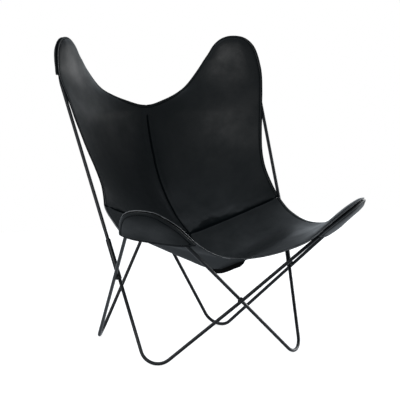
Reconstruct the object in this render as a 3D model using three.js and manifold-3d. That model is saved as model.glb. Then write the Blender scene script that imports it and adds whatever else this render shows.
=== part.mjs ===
// Butterfly sling chair: two bent base rods and two back hoops carry a four-panel leather sling.
// Millimetres, +Z up, floor at z = 0, sitter faces -Y, mirror plane x = 0.
// The sling's four pockets hook over the hoops at the back and over the wing corners in front.
import * as THREE from 'three';
import { mergeVertices } from 'three/addons/utils/BufferGeometryUtils.js';
import Module from 'manifold-3d';

const wasm = await Module();
wasm.setup();

// ---- Driving dimensions ----
const ROD_DIAMETER = 10;
const FIT_GAP = 0.3; // clear space between two pieces that touch
const ROD_SIDES = 12;
const BEND_STEP_DEGREES = 13;

// base rods: corner points of the centre lines before they are rounded
const FRONT_FOOT_HALF_SPAN = 244;
const FRONT_FOOT_REACH = 222;
const BACK_FOOT_HALF_SPAN = 201;
const BACK_FOOT_SETBACK = 222;
const FOOT_BEND_RADIUS = 49;
const FOOT_FLAT_DEPTH = 0.5;
const WING_HALF_SPAN = 377;
const WING_REACH = 413;
const WING_HEIGHT = 501;
const WING_BEND_RADIUS = 50;
const CROSSING_BEND_RADIUS = 260;
const REAR_CROSSING_SETBACK = 264;
const REAR_CROSSING_HEIGHT = 343;
const SIDE_CROSSING_SHARE = 0.486; // along the wing rod, from the back foot to the wing corner

// sleeves that join the base rods and the hoops
const SLEEVE_DIAMETER = 14;
const SLEEVE_LENGTH = 118;
const SLEEVE_BORE_CLEARANCE = 0.3;
const SLEEVE_FACETS = 20;
const SIDE_SLEEVE_TAIL = 8; // below the side crossing
const REAR_SLEEVE_RISE = 24; // above the rear crossing
const ROD_END_GAP = 2; // between the two rod ends inside a sleeve
const HOOP_EXIT_RISE = 14; // from the sleeve's mouth to the hoop's first bend
const HOOP_EXIT_RADIUS = 60;
const REAR_EXIT_RADIUS = 90;

// back hoops: upside-down bends in one leaning plane, which is turned from the mirror plane
const HOOP_HEIGHT = 870;
const HOOP_HALF_SPAN = 284;
const HOOP_SETBACK = 286;
const HOOP_TOP_WIDTH = 110;
const HOOP_BEND_RADIUS = 60;
const HOOP_TURN_DEGREES = 43;
const SHOULDER_HEIGHT = 756;
const SHOULDER_HALF_SPAN = 272;
const SHOULDER_SETBACK = 266;
const SHOULDER_WIDTH = 150;
const SHOULDER_BEND_RADIUS = 118;

// welds at the crossings
const WELD_LENGTH = 17;
const WELD_WIDTH = 12;

// leather sling
const LEATHER = 3.5;
const SEAM_GAP = 0.8;
const CROSS_SEAM_SETBACK = 19;
const CROSS_SEAM_HEIGHT = 319;
const BACK_HOLLOW = 36;
const HOLLOW_SKEW_SHARE = 0.5;
const HOOP_POCKET_REACH = 140;
const HOOP_EDGE_MARGIN = 20;
const HOOP_CROWN = 14;
const HOOP_POCKET_BELLY = 17;
const WING_POCKET_SIDE_REACH = 140;
const WING_POCKET_FRONT_REACH = 174;
const WING_EDGE_MARGIN = 25;
const WING_CROWN = 12.5;
const WING_POCKET_BELLY = 13;
const POCKET_EDGE_LIFT = 2;
const POCKET_INSET = 1.2;
const MOST_INSET_SHARE = 0.2;
const FLANGE_DEPTH = 15;
const FLANGE_END_DEPTH = 4;
const FLANGE_END_SLOPE = 3.2;
const FLANGE_CLEARANCE = 12; // at the ends of a seam
const FLANGE_STATIONS = 12;
const PANEL_COLUMNS = 10;
const POCKET_COLUMNS = 9;
const ROW_STEP = 0.05;
const FACING_ROWS = 1;
const SEAM_ROWS = 2; // over which the seat runs into the cross seam's line

// Rows of the back panel as shares of the way from the middle of the cross seam to the hoop's
// apex: across, backwards and upwards. The seam and the top edge are its inner edge. On the side
// edge the first number is a share of the half span of the hoop's front leg at that height.
const backSeamShares = [
  [-0, 0, 0],
  [-0, 0.172, 0.034],
  [-0, 0.371, 0.087],
  [-0, 0.566, 0.158],
  [-0, 0.734, 0.234],
  [-0, 0.865, 0.325],
  [-0, 0.97, 0.419],
  [-0, 1.052, 0.515],
  [-0, 1.101, 0.597],
  [-0, 1.12, 0.641],
];
const backTopEdgeShares = [
  [0.077, 1.127, 0.645],
  [0.211, 1.14, 0.666],
  [0.352, 1.163, 0.693],
  [0.5, 1.195, 0.737],
];
const backSideEdgeShares = [
  [0.967, -0.094, 0.18],
  [0.944, -0.034, 0.216],
  [0.919, 0.056, 0.272],
  [0.911, 0.154, 0.325],
  [0.916, 0.24, 0.379],
  [0.929, 0.311, 0.43],
  [0.943, 0.363, 0.477],
  [0.957, 0.412, 0.528],
  [0.973, 0.459, 0.579],
  [0.985, 0.498, 0.624],
  [0.994, 0.536, 0.668],
  [1.005, 0.571, 0.708],
  [1.014, 0.605, 0.742],
  [1.025, 0.644, 0.776],
];
const backHollowShares = [0.12, 0.3, 0.5, 0.65, 0.8, 0.9, 0.95, 1, 1, 0.95, 0.85, 0.65, 0.4, 0.2, 0.05, 0];
const backCrownShares = [0, 0, 0, 0, 0, 0, 0, 0, 0, 0, 0, 0.1, 0.3, 0.6, 0.9, 1];
// Rows of the seat panel in the same way, from the middle of the cross seam to the wing corner.
// Its side edge starts where the back's does, at the end of the cross seam.
const seatKeelShares = [
  [0, 0, 0],
  [0, 0.11, -0.18],
  [0, 0.23, -0.33],
  [0, 0.345, -0.405],
  [0, 0.44, -0.39],
  [0, 0.54, -0.32],
  [0, 0.66, -0.22],
  [0, 0.796, -0.115],
];
const seatFrontEdgeShares = [
  [0.14, 0.81, -0.088],
  [0.283, 0.866, 0],
  [0.426, 0.926, 0.137],
  [0.548, 0.947, 0.313],
];
const seatSideEdgeShares = [
  [0.759, 0.113, 0.456],
  [0.76, 0.183, 0.379],
  [0.767, 0.248, 0.324],
  [0.775, 0.299, 0.288],
  [0.784, 0.345, 0.264],
  [0.796, 0.384, 0.247],
  [0.808, 0.419, 0.24],
  [0.824, 0.456, 0.24],
  [0.844, 0.495, 0.247],
  [0.867, 0.537, 0.266],
  [0.899, 0.586, 0.302],
];
const seatKeelRoundShares = [0.15, 0.17, 0.2, 0.23, 0.25];
const seatBowlShares = [1, 1, 1, 1, 1, 1, 1, 0.9, 0.7, 0.5, 0.25, 0];
const seatCrownShares = [0, 0, 0, 0, 0, 0, 0, 0.05, 0.2, 0.4, 0.7, 0.95, 1];
// Rows round a pocket from its hem to its tip: the reach along the rod as a share of the
// pocket's, the margins outside the rod on the side edge and on the inner edge as shares of the
// edge margin, and how far the two edges stand off the rod's plane as shares of the edge lift.
const hoopPocketShares = [
  [1, 1.02, 1.7, 2, 5],
  [0.82, 0.88, 1.3, 1.25, 3],
  [0.64, 0.68, 0.85, 1, 1.25],
  [0.47, 0.53, 0.62, 1, 1],
  [0.31, 0.5, 0.55, 1, 1],
  [0.16, 0.5, 0.5, 1, 1],
  [0.035, 0.5, 0.5, 1, 1],
];
const wingPocketShares = [
  [1, 0.78, 1.26, 1, 1],
  [0.83, 0.94, 1.21, 1, 1],
  [0.66, 1.02, 1.16, 1, 1],
  [0.5, 1.02, 1.04, 1, 1],
  [0.33, 0.92, 0.68, 1, 1],
  [0.165, 0.7, 0.54, 1, 1],
  [0.03, 0.54, 0.52, 1, 1],
];

const ROD_RADIUS = ROD_DIAMETER / 2;
const SLEEVE_RADIUS = SLEEVE_DIAMETER / 2;
const LEFT = -1;
const RIGHT = 1;

// ---- Small helpers ----
const vec = (x, y, z) => new THREE.Vector3(x, y, z);
const between = (a, b, share) => a.clone().lerp(b, share);
const toward = (a, b) => b.clone().sub(a).normalize();
const along = (point, direction, length) => point.clone().addScaledVector(direction, length);
const mirrored = (point, side) => vec(point.x * side, point.y, point.z);

// A centre line with straight runs and round bends; stations lie only where the line turns.
class BentRod extends THREE.Curve {
  constructor(corners, radii) {
    super();
    this.stations = [corners[0]];
    for (let i = 1; i < corners.length - 1; i += 1) {
      this.stations.push(...BentRod.bend(corners[i - 1], corners[i], corners[i + 1], radii[i - 1]));
    }
    this.stations.push(corners[corners.length - 1]);
    this.spans = this.stations.length - 1;
  }

  static bend(before, corner, after, radius) {
    const back = toward(corner, before);
    const on = toward(corner, after);
    const half = back.angleTo(on) / 2;
    const start = along(corner, back, radius / Math.tan(half));
    const middle = back.clone().add(on).normalize();
    const centre = along(corner, middle, radius / Math.sin(half));
    const spoke = start.clone().sub(centre);
    const turn = Math.PI - 2 * half;
    const axis = spoke.clone().cross(middle).normalize().negate();
    const steps = Math.max(2, Math.ceil(turn / THREE.MathUtils.degToRad(BEND_STEP_DEGREES)));
    const points = [];
    for (let i = 0; i <= steps; i += 1) {
      points.push(spoke.clone().applyAxisAngle(axis, (turn * i) / steps).add(centre));
    }
    return points;
  }

  getPoint(t, target = new THREE.Vector3()) {
    const place = Math.min(Math.max(t, 0), 1) * this.spans;
    const i = Math.min(Math.floor(place + 1e-9), this.spans - 1);
    return target.lerpVectors(this.stations[i], this.stations[i + 1], place - i);
  }

  getTangent(t, target = new THREE.Vector3()) {
    const i = Math.round(t * this.spans);
    target.set(0, 0, 0);
    if (i > 0) target.add(toward(this.stations[i - 1], this.stations[i]));
    if (i < this.spans) target.add(toward(this.stations[i], this.stations[i + 1]));
    return target.normalize();
  }

  getUtoTmapping(u) {
    return u;
  }
}

function rodGeometry(path) {
  const outline = new THREE.Shape();
  for (let i = 0; i < ROD_SIDES; i += 1) {
    const angle = (2 * Math.PI * i) / ROD_SIDES;
    const x = ROD_RADIUS * Math.cos(angle);
    const y = ROD_RADIUS * Math.sin(angle);
    if (i === 0) outline.moveTo(x, y);
    else outline.lineTo(x, y);
  }
  return new THREE.ExtrudeGeometry(outline, { steps: path.spans, extrudePath: path });
}

function toManifold(geometry) {
  const bare = geometry.clone();
  bare.deleteAttribute('normal');
  bare.deleteAttribute('uv');
  const welded = mergeVertices(bare, 1e-4);
  return new wasm.Manifold(
    new wasm.Mesh({
      numProp: 3,
      vertProperties: new Float32Array(welded.attributes.position.array),
      triVerts: new Uint32Array(welded.index.array),
    }),
  );
}

function fromManifold(solid) {
  const mesh = solid.getMesh();
  const geometry = new THREE.BufferGeometry();
  geometry.setAttribute('position', new THREE.BufferAttribute(mesh.vertProperties, 3));
  geometry.setIndex(new THREE.BufferAttribute(mesh.triVerts, 1));
  geometry.computeVertexNormals();
  return geometry;
}

// ---- Frame layout ----
// A foot corner is lowered until the underside of its bend stands on the floor.
function settledFoot(x, y, endA, endB) {
  const corner = vec(x, y, 0);
  for (let pass = 0; pass < 12; pass += 1) {
    const bend = BentRod.bend(endA, corner, endB, FOOT_BEND_RADIUS);
    const low = Math.min(...bend.map((p) => p.z));
    corner.z += ROD_RADIUS - FOOT_FLAT_DEPTH - low;
  }
  return corner;
}

// Layout of the base rod whose wing corner is on the right, and of the left hoop it carries.
// The other base rod and hoop are its mirror image, but for the side they pass at a crossing.
function layout() {
  const wing = vec(WING_HALF_SPAN, -WING_REACH, WING_HEIGHT);
  const rearCross = vec(0, REAR_CROSSING_SETBACK, REAR_CROSSING_HEIGHT);
  const backFoot = settledFoot(BACK_FOOT_HALF_SPAN, BACK_FOOT_SETBACK, rearCross, wing);
  // on the left side the other rod climbs from its back foot to its wing corner
  const otherBack = mirrored(backFoot, -1);
  const otherWing = mirrored(wing, -1);
  const crossed = between(otherBack, otherWing, SIDE_CROSSING_SHARE);
  const frontGuess = vec(-FRONT_FOOT_HALF_SPAN, -FRONT_FOOT_REACH, 0);
  const apart = ROD_RADIUS + SLEEVE_RADIUS + FIT_GAP;
  let frontFoot = frontGuess;
  let sideCross = crossed;
  for (let pass = 0; pass < 6; pass += 1) {
    const normal = toward(otherBack, otherWing).cross(toward(frontFoot, crossed)).normalize();
    if (normal.x < 0) normal.negate();
    sideCross = along(crossed, normal, apart);
    frontFoot = settledFoot(frontGuess.x, frontGuess.y, sideCross, wing);
  }
  const up = toward(frontFoot, sideCross);
  const sleeveFoot = along(sideCross, up, -SIDE_SLEEVE_TAIL);
  const sleeveTop = along(sleeveFoot, up, SLEEVE_LENGTH);
  const frontCross = between(frontFoot, wing, -frontFoot.x / (wing.x - frontFoot.x));
  const turn = THREE.MathUtils.degToRad(HOOP_TURN_DEGREES);
  const outward = vec(-Math.cos(turn), -Math.sin(turn), 0);
  const top = vec(-HOOP_HALF_SPAN, HOOP_SETBACK, HOOP_HEIGHT);
  const shoulder = vec(-SHOULDER_HALF_SPAN, SHOULDER_SETBACK, SHOULDER_HEIGHT);
  // the shoulders are centred under the top, across the hoop
  shoulder.addScaledVector(outward, -shoulder.clone().sub(top).dot(outward));
  const frontShoulder = along(shoulder, outward, SHOULDER_WIDTH / 2);
  const rearShoulder = along(shoulder, outward, -SHOULDER_WIDTH / 2);
  const frontTop = along(top, outward, HOOP_TOP_WIDTH / 2);
  const rearTop = along(top, outward, -HOOP_TOP_WIDTH / 2);
  return {
    wing, rearCross, backFoot, frontFoot, crossed, sideCross, up, sleeveFoot, sleeveTop,
    frontCross, frontShoulder, rearShoulder, frontTop, rearTop,
  };
}
const plan = layout();

// How far a rod swerves at a crossing on the mirror plane, half of the way to the other rod.
const swerve = (ROD_DIAMETER + FIT_GAP) / 2;

// side is that of the rod's wing corner; the right one passes in front at both crossings.
function frameHalf(side) {
  const at = (point) => mirrored(point, side);
  const frontWay = toward(at(plan.frontFoot), at(plan.wing));
  const frontNormal = frontWay.clone().cross(mirrored(frontWay, -1)).normalize();
  if (frontNormal.y > 0) frontNormal.negate();
  const frontCross = along(at(plan.frontCross), frontNormal, swerve * side);
  const rearClimb = toward(at(plan.rearCross), at(plan.rearShoulder));
  const rearNormal = rearClimb.clone().cross(mirrored(rearClimb, -1)).normalize();
  if (rearNormal.y > 0) rearNormal.negate();
  const rearCross = along(at(plan.rearCross), rearNormal, swerve * side);
  const rearUp = toward(rearCross, at(plan.rearShoulder));
  const rearWay = toward(at(plan.backFoot), rearCross).add(rearUp).normalize();
  const rearSleeveFoot = along(rearCross, rearUp, REAR_SLEEVE_RISE);
  const sideUp = mirrored(plan.up, side);
  const halfSleeve = SLEEVE_LENGTH / 2;
  const sideMiddle = along(at(plan.sleeveFoot), sideUp, halfSleeve);
  const rearMiddle = along(rearSleeveFoot, rearUp, halfSleeve);
  // the swerves tilt the bends a little, so each foot is settled again between its neighbours
  const sleeveEnd = along(sideMiddle, sideUp, -ROD_END_GAP / 2);
  const frontFoot = at(plan.frontFoot);
  const backFoot = at(plan.backFoot);
  const base = new BentRod(
    [
      sleeveEnd,
      settledFoot(frontFoot.x, frontFoot.y, sleeveEnd, frontCross),
      frontCross,
      at(plan.wing),
      settledFoot(backFoot.x, backFoot.y, at(plan.wing), rearCross),
      rearCross,
      along(rearMiddle, rearUp, -ROD_END_GAP / 2),
    ],
    [FOOT_BEND_RADIUS, CROSSING_BEND_RADIUS, WING_BEND_RADIUS, FOOT_BEND_RADIUS, REAR_EXIT_RADIUS],
  );
  const hoop = new BentRod(
    [
      along(sideMiddle, sideUp, ROD_END_GAP / 2),
      along(at(plan.sleeveTop), sideUp, HOOP_EXIT_RISE),
      at(plan.frontShoulder),
      at(plan.frontTop),
      at(plan.rearTop),
      at(plan.rearShoulder),
      along(rearMiddle, rearUp, ROD_END_GAP / 2),
    ],
    [HOOP_EXIT_RADIUS, SHOULDER_BEND_RADIUS, HOOP_BEND_RADIUS, HOOP_BEND_RADIUS, SHOULDER_BEND_RADIUS],
  );
  return {
    base, hoop, frontWay, frontCross, rearCross, rearWay, rearUp, rearSleeveFoot, sideUp,
    sleeveFoot: at(plan.sleeveFoot),
    sideCross: at(plan.sideCross),
    crossed: at(plan.crossed),
  };
}
// the right half carries the left hoop, as each base rod runs from one side to the other
const halves = { left: frameHalf(LEFT), right: frameHalf(RIGHT) };

// ---- Frame pieces ----
const floorBlock = new THREE.BoxGeometry(4 * WING_HALF_SPAN, 4 * WING_REACH, 2 * ROD_DIAMETER);
floorBlock.translate(0, 0, -ROD_DIAMETER);
const floorSolid = toManifold(floorBlock);

function baseRodGeometry(half) {
  return fromManifold(toManifold(rodGeometry(half.base)).subtract(floorSolid));
}

function sleeveGeometry(foot, direction) {
  const bore = ROD_RADIUS + SLEEVE_BORE_CLEARANCE;
  const profile = [
    new THREE.Vector2(bore, 0),
    new THREE.Vector2(SLEEVE_RADIUS, 0),
    new THREE.Vector2(SLEEVE_RADIUS, SLEEVE_LENGTH),
    new THREE.Vector2(bore, SLEEVE_LENGTH),
    new THREE.Vector2(bore, 0),
  ];
  const geometry = new THREE.LatheGeometry(profile, SLEEVE_FACETS);
  geometry.applyQuaternion(new THREE.Quaternion().setFromUnitVectors(vec(0, 1, 0), direction));
  geometry.translate(foot.x, foot.y, foot.z);
  return geometry;
}

// A straight stand-in for a rod or sleeve near a crossing, to hollow the weld bead out.
function cutter(point, direction, radius) {
  const length = 4 * WELD_LENGTH;
  const bar = new THREE.CylinderGeometry(radius, radius, length, 2 * ROD_SIDES);
  bar.applyQuaternion(new THREE.Quaternion().setFromUnitVectors(vec(0, 1, 0), direction));
  bar.translate(point.x, point.y, point.z);
  return toManifold(bar);
}

// A weld bead fills the corners between two members that cross and nearly touch.
function weldGeometry(a, aWay, aRadius, b, bWay, bRadius) {
  const across = toward(a, b);
  const middle = between(a, b, (a.distanceTo(b) + aRadius - bRadius) / 2 / a.distanceTo(b));
  const bead = new THREE.SphereGeometry(1, 14, 10);
  bead.scale(WELD_LENGTH / 2, WELD_WIDTH / 2, WELD_LENGTH / 2);
  bead.applyQuaternion(new THREE.Quaternion().setFromUnitVectors(vec(0, 1, 0), across));
  bead.translate(middle.x, middle.y, middle.z);
  const hollowed = toManifold(bead)
    .subtract(cutter(a, aWay, aRadius + FIT_GAP))
    .subtract(cutter(b, bWay, bRadius + FIT_GAP));
  const parts = hollowed.decompose();
  parts.sort((p, q) => q.volume() - p.volume());
  return fromManifold(parts[0]);
}

function crossingWeld(place, way) {
  const { left, right } = halves;
  return weldGeometry(left[place], left[way], ROD_RADIUS, right[place], right[way], ROD_RADIUS);
}

// The sleeve meets the other base rod where that one climbs from its back foot to its wing.
function sideWeld(half) {
  const side = Math.sign(half.crossed.x);
  const climb = toward(mirrored(plan.backFoot, side), mirrored(plan.wing, side));
  return weldGeometry(half.sideCross, half.sideUp, SLEEVE_RADIUS, half.crossed, climb, ROD_RADIUS);
}

// ---- Sling ----
// The bend that a pocket hooks over, seen square on. The rod's centre line peaks at the apex,
// runs straight for the flat length to either side, then turns down by the turn angle.
class HookFrame {
  constructor({ apex, down, outward, flat, radius, turn }) {
    Object.assign(this, { apex, down, outward, flat, radius, turn });
    this.inner = outward.clone().cross(down).normalize();
    if (this.inner.z < 0) this.inner.negate();
  }

  // A place on the sling's edge, a margin outside the rod, at a reach along the rod from the
  // apex; side is 1 towards the sling's side edge and -1 towards its top or front edge.
  edge(reach, side, margin, lift) {
    const bent = Math.min(Math.max(reach - this.flat, 0), this.radius * this.turn);
    const angle = bent / this.radius;
    const straight = Math.max(reach - this.flat - this.radius * this.turn, 0);
    const across = Math.min(reach, this.flat) + this.radius * Math.sin(angle) + straight * Math.cos(angle);
    const depth = this.radius * (1 - Math.cos(angle)) + straight * Math.sin(angle);
    return this.apex
      .clone()
      .addScaledVector(this.outward, side * (across + margin * Math.sin(angle)))
      .addScaledVector(this.down, depth - margin * Math.cos(angle))
      .addScaledVector(this.inner, lift);
  }
}

function hoopHook() {
  const top = between(plan.frontTop, plan.rearTop, 0.5);
  const foot = between(plan.frontShoulder, plan.rearShoulder, 0.5);
  const outward = toward(plan.rearTop, plan.frontTop);
  const down = toward(top, foot);
  const turn = outward.angleTo(toward(plan.frontTop, plan.frontShoulder));
  const flat = HOOP_TOP_WIDTH / 2 - HOOP_BEND_RADIUS * Math.tan(turn / 2);
  return new HookFrame({ apex: top, down, outward, flat, radius: HOOP_BEND_RADIUS, turn });
}

function wingHook() {
  const corner = mirrored(plan.wing, LEFT);
  const front = toward(corner, mirrored(plan.frontCross, LEFT));
  const back = toward(corner, mirrored(plan.backFoot, LEFT));
  const down = front.clone().add(back).normalize();
  const outward = back.clone().sub(front).normalize();
  const half = front.angleTo(back) / 2;
  const apex = along(corner, down, WING_BEND_RADIUS / Math.sin(half) - WING_BEND_RADIUS);
  const turn = Math.PI / 2 - half;
  return new HookFrame({ apex, down, outward, flat: 0, radius: WING_BEND_RADIUS, turn });
}

const seamMiddle = vec(0, CROSS_SEAM_SETBACK, CROSS_SEAM_HEIGHT);

// Shares of the way from the middle of the cross seam to a goal on the left.
function placed(shares, goal) {
  const way = goal.clone().sub(seamMiddle);
  return vec(...shares).multiply(way).add(seamMiddle);
}

// The same for the back's side edge, which follows the hoop's front leg.
function besideLeg(shares) {
  const place = placed(shares, hoopHookLeft.apex);
  const { sleeveTop, frontShoulder } = plan;
  const climbed = (place.z - sleeveTop.z) / (frontShoulder.z - sleeveTop.z);
  place.x = shares[0] * between(sleeveTop, frontShoulder, climbed).x;
  return place;
}

// One quarter of the sling: a ladder of rows between an inner edge, which is the centre seam
// and then the top or front edge, and an outer edge, which is the side edge. Where a seam line
// is given, the first rows run into it.
class PanelForm {
  constructor({ seam, edge, outer, goal, hook, pocket, reaches, margin, seamLine, sizes, shares }) {
    this.corner = seam.length - 1;
    this.hem = seam.length + edge.length;
    this.seamLine = seamLine;
    const inner = [...seam, ...edge].map((row) => placed(row, goal));
    const side = [...outer];
    pocket.forEach(([reach, sideMargin, innerMargin, sideLift, innerLift]) => {
      const lift = POCKET_EDGE_LIFT;
      side.push(hook.edge(reach * reaches[0], 1, sideMargin * margin, sideLift * lift));
      inner.push(hook.edge(reach * reaches[1], -1, innerMargin * margin, innerLift * lift));
    });
    this.rows = inner.length - 1;
    this.seamCurve = new THREE.CatmullRomCurve3(inner.slice(0, this.corner + 1));
    this.edgeCurve = new THREE.CatmullRomCurve3(inner.slice(this.corner));
    this.sideCurve = new THREE.CatmullRomCurve3(side);
    this.hook = hook;
    this.tipDepth = hook.radius + margin;
    this.tip = between(inner[this.rows], side[this.rows], 0.5);
    this.sizes = sizes;
    this.shares = shares;
  }

  // a table's value at a row; the last entry holds for the rows that follow
  value(name, row) {
    const table = this.shares[name];
    const place = Math.min(row, table.length - 1);
    const i = Math.min(Math.floor(place), table.length - 2);
    return THREE.MathUtils.lerp(table[i], table[i + 1], place - i);
  }

  inner(row) {
    if (row <= this.corner) return this.seamCurve.getPoint(row / this.corner);
    return this.edgeCurve.getPoint((row - this.corner) / (this.rows - this.corner));
  }

  outer(row) {
    return this.sideCurve.getPoint(row / this.rows);
  }

  // which way the leather's inner face looks at a row
  facing(row) {
    const low = Math.max(row - FACING_ROWS, 0);
    const high = Math.min(row + FACING_ROWS, this.rows);
    const middle = (r) => between(this.inner(r), this.outer(r), 0.5);
    const normal = this.outer(row).sub(this.inner(row)).cross(middle(high).sub(middle(low))).normalize();
    return normal.dot(this.hook.inner) < 0 ? normal.negate() : normal;
  }

  // from 0 at the pocket's tip to 1 where the rod's bend ends
  rise(row) {
    const middle = between(this.inner(row), this.outer(row), 0.5);
    const depth = Math.min(Math.max(middle.sub(this.tip).dot(this.hook.down), 0), this.tipDepth);
    return 1 - (1 - depth / this.tipDepth) ** 4;
  }

  // middle of the leather's thickness, t from the inner edge (0) to the outer edge (1)
  point(row, t) {
    const a = this.inner(row);
    const b = this.outer(row);
    const point = between(a, b, t);
    const round = this.value('round', row);
    const whole = Math.sqrt(1 + round * round) - round;
    const eased = (Math.sqrt(t * t + round * round) - round) / whole;
    point.z += (b.z - a.z) * (eased - t) * this.value('bowl', row);
    const dip = 4 * t * (1 - t) * (1 + HOLLOW_SKEW_SHARE * (1 - 2 * t));
    const hollow = this.sizes.hollow * this.value('hollow', row) * dip;
    const crown = this.sizes.crown * this.value('crown', row) * this.rise(row) * (1 - (2 * t - 1) ** 4);
    point.addScaledVector(this.facing(row), crown - hollow);
    if (!this.seamLine || row >= SEAM_ROWS) return point;
    return point.lerp(this.seamLine(t), (1 - row / SEAM_ROWS) ** 2);
  }

  // middle of the pocket's back leather, sewn along the same edges
  pocketPoint(row, t) {
    const a = this.inner(row);
    const b = this.outer(row);
    const inset = Math.min(POCKET_INSET / a.distanceTo(b), MOST_INSET_SHARE);
    const place = inset + t * (1 - 2 * inset);
    const belly = this.sizes.belly * this.rise(row) * (1 - (2 * place - 1) ** 4);
    return along(between(a, b, place), this.hook.inner, -(LEATHER + FIT_GAP) - belly);
  }
}

const hoopHookLeft = hoopHook();
const wingHookLeft = wingHook();
const backForm = new PanelForm({
  seam: backSeamShares,
  edge: backTopEdgeShares,
  outer: backSideEdgeShares.map(besideLeg),
  goal: hoopHookLeft.apex,
  hook: hoopHookLeft,
  pocket: hoopPocketShares,
  reaches: [HOOP_POCKET_REACH, HOOP_POCKET_REACH],
  margin: HOOP_EDGE_MARGIN,
  sizes: { hollow: BACK_HOLLOW, crown: HOOP_CROWN, belly: HOOP_POCKET_BELLY },
  shares: { hollow: backHollowShares, crown: backCrownShares, bowl: [0, 0], round: [1, 1] },
});
const wingCorner = mirrored(plan.wing, LEFT);
const seatForm = new PanelForm({
  seam: seatKeelShares,
  edge: seatFrontEdgeShares,
  outer: [backForm.outer(0), ...seatSideEdgeShares.map((row) => placed(row, wingCorner))],
  goal: wingCorner,
  seamLine: (t) => backForm.point(0, t),
  hook: wingHookLeft,
  pocket: wingPocketShares,
  reaches: [WING_POCKET_SIDE_REACH, WING_POCKET_FRONT_REACH],
  margin: WING_EDGE_MARGIN,
  sizes: { hollow: 0, crown: WING_CROWN, belly: WING_POCKET_BELLY },
  shares: { hollow: [0, 0], crown: seatCrownShares, bowl: seatBowlShares, round: seatKeelRoundShares },
});

// Thickens a grid of mid-surface points into one closed shell.
function shellGeometry(grid) {
  const rows = grid.length;
  const columns = grid[0].length;
  const faceNormal = (i, j) => {
    const a = grid[i + 1][j + 1].clone().sub(grid[i][j]);
    const b = grid[i + 1][j].clone().sub(grid[i][j + 1]);
    return a.cross(b).normalize();
  };
  const vertexNormal = (i, j) => {
    const normal = vec(0, 0, 0);
    for (const fi of [i - 1, i]) {
      for (const fj of [j - 1, j]) {
        if (fi >= 0 && fj >= 0 && fi < rows - 1 && fj < columns - 1) normal.add(faceNormal(fi, fj));
      }
    }
    return normal.normalize();
  };
  const positions = [];
  for (const sign of [1, -1]) {
    grid.forEach((line, i) => {
      line.forEach((point, j) => {
        positions.push(...along(point, vertexNormal(i, j), (sign * LEATHER) / 2).toArray());
      });
    });
  }
  const top = (i, j) => i * columns + j;
  const under = (i, j) => rows * columns + top(i, j);
  const index = [];
  const quad = (a, b, c, d) => index.push(a, b, c, a, c, d);
  for (let i = 0; i < rows - 1; i += 1) {
    for (let j = 0; j < columns - 1; j += 1) {
      quad(top(i, j), top(i, j + 1), top(i + 1, j + 1), top(i + 1, j));
      quad(under(i, j), under(i + 1, j), under(i + 1, j + 1), under(i, j + 1));
    }
  }
  const [endRow, endColumn] = [rows - 1, columns - 1];
  for (let j = 0; j < endColumn; j += 1) {
    quad(under(0, j), under(0, j + 1), top(0, j + 1), top(0, j));
    quad(top(endRow, j), top(endRow, j + 1), under(endRow, j + 1), under(endRow, j));
  }
  for (let i = 0; i < endRow; i += 1) {
    quad(top(i, 0), top(i + 1, 0), under(i + 1, 0), under(i, 0));
    quad(under(i, endColumn), under(i + 1, endColumn), top(i + 1, endColumn), top(i, endColumn));
  }
  return facingOut(geometryOf(positions, index));
}

function geometryOf(positions, index) {
  const geometry = new THREE.BufferGeometry();
  geometry.setAttribute('position', new THREE.Float32BufferAttribute(positions, 3));
  geometry.setIndex(index);
  return geometry;
}

// Turns the faces outwards, whichever way the grid ran, by the sign of the volume.
function facingOut(geometry) {
  const places = geometry.attributes.position;
  const index = geometry.index.array;
  const [a, b, c] = [vec(0, 0, 0), vec(0, 0, 0), vec(0, 0, 0)];
  let volume = 0;
  for (let i = 0; i < index.length; i += 3) {
    a.fromBufferAttribute(places, index[i]);
    b.fromBufferAttribute(places, index[i + 1]);
    c.fromBufferAttribute(places, index[i + 2]);
    volume += a.dot(b.cross(c));
  }
  if (volume < 0) {
    for (let i = 0; i < index.length; i += 3) {
      [index[i + 1], index[i + 2]] = [index[i + 2], index[i + 1]];
    }
  }
  geometry.computeVertexNormals();
  return geometry;
}

// one row at each drawn row and one between, so that the edges run smooth
function rowStations(form, first) {
  const list = [];
  for (let row = first; row < form.rows; row += 0.5) list.push(row);
  list.push(form.rows);
  return list;
}

// closer columns near the edges, where the leather turns most
function columnPlaces(count) {
  return Array.from({ length: count }, (_, j) => (1 - Math.cos((Math.PI * j) / (count - 1))) / 2);
}

function panelGrid(form) {
  return rowStations(form, 0).map((row) => columnPlaces(PANEL_COLUMNS).map((t, j) => {
    // the first row stands back from the middle of the cross seam
    const point = form.point(row, t);
    if (row === 0) point.addScaledVector(toward(point, form.point(1, t)), SEAM_GAP / 2);
    if (j === 0 && row <= form.corner) point.x = SEAM_GAP; // trimmed back at the mirror plane
    return point;
  }));
}

const pocketGrid = (form) => rowStations(form, form.hem)
  .slice(0, -1)
  .map((row) => columnPlaces(POCKET_COLUMNS).map((t) => form.pocketPoint(row, t)));

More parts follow.
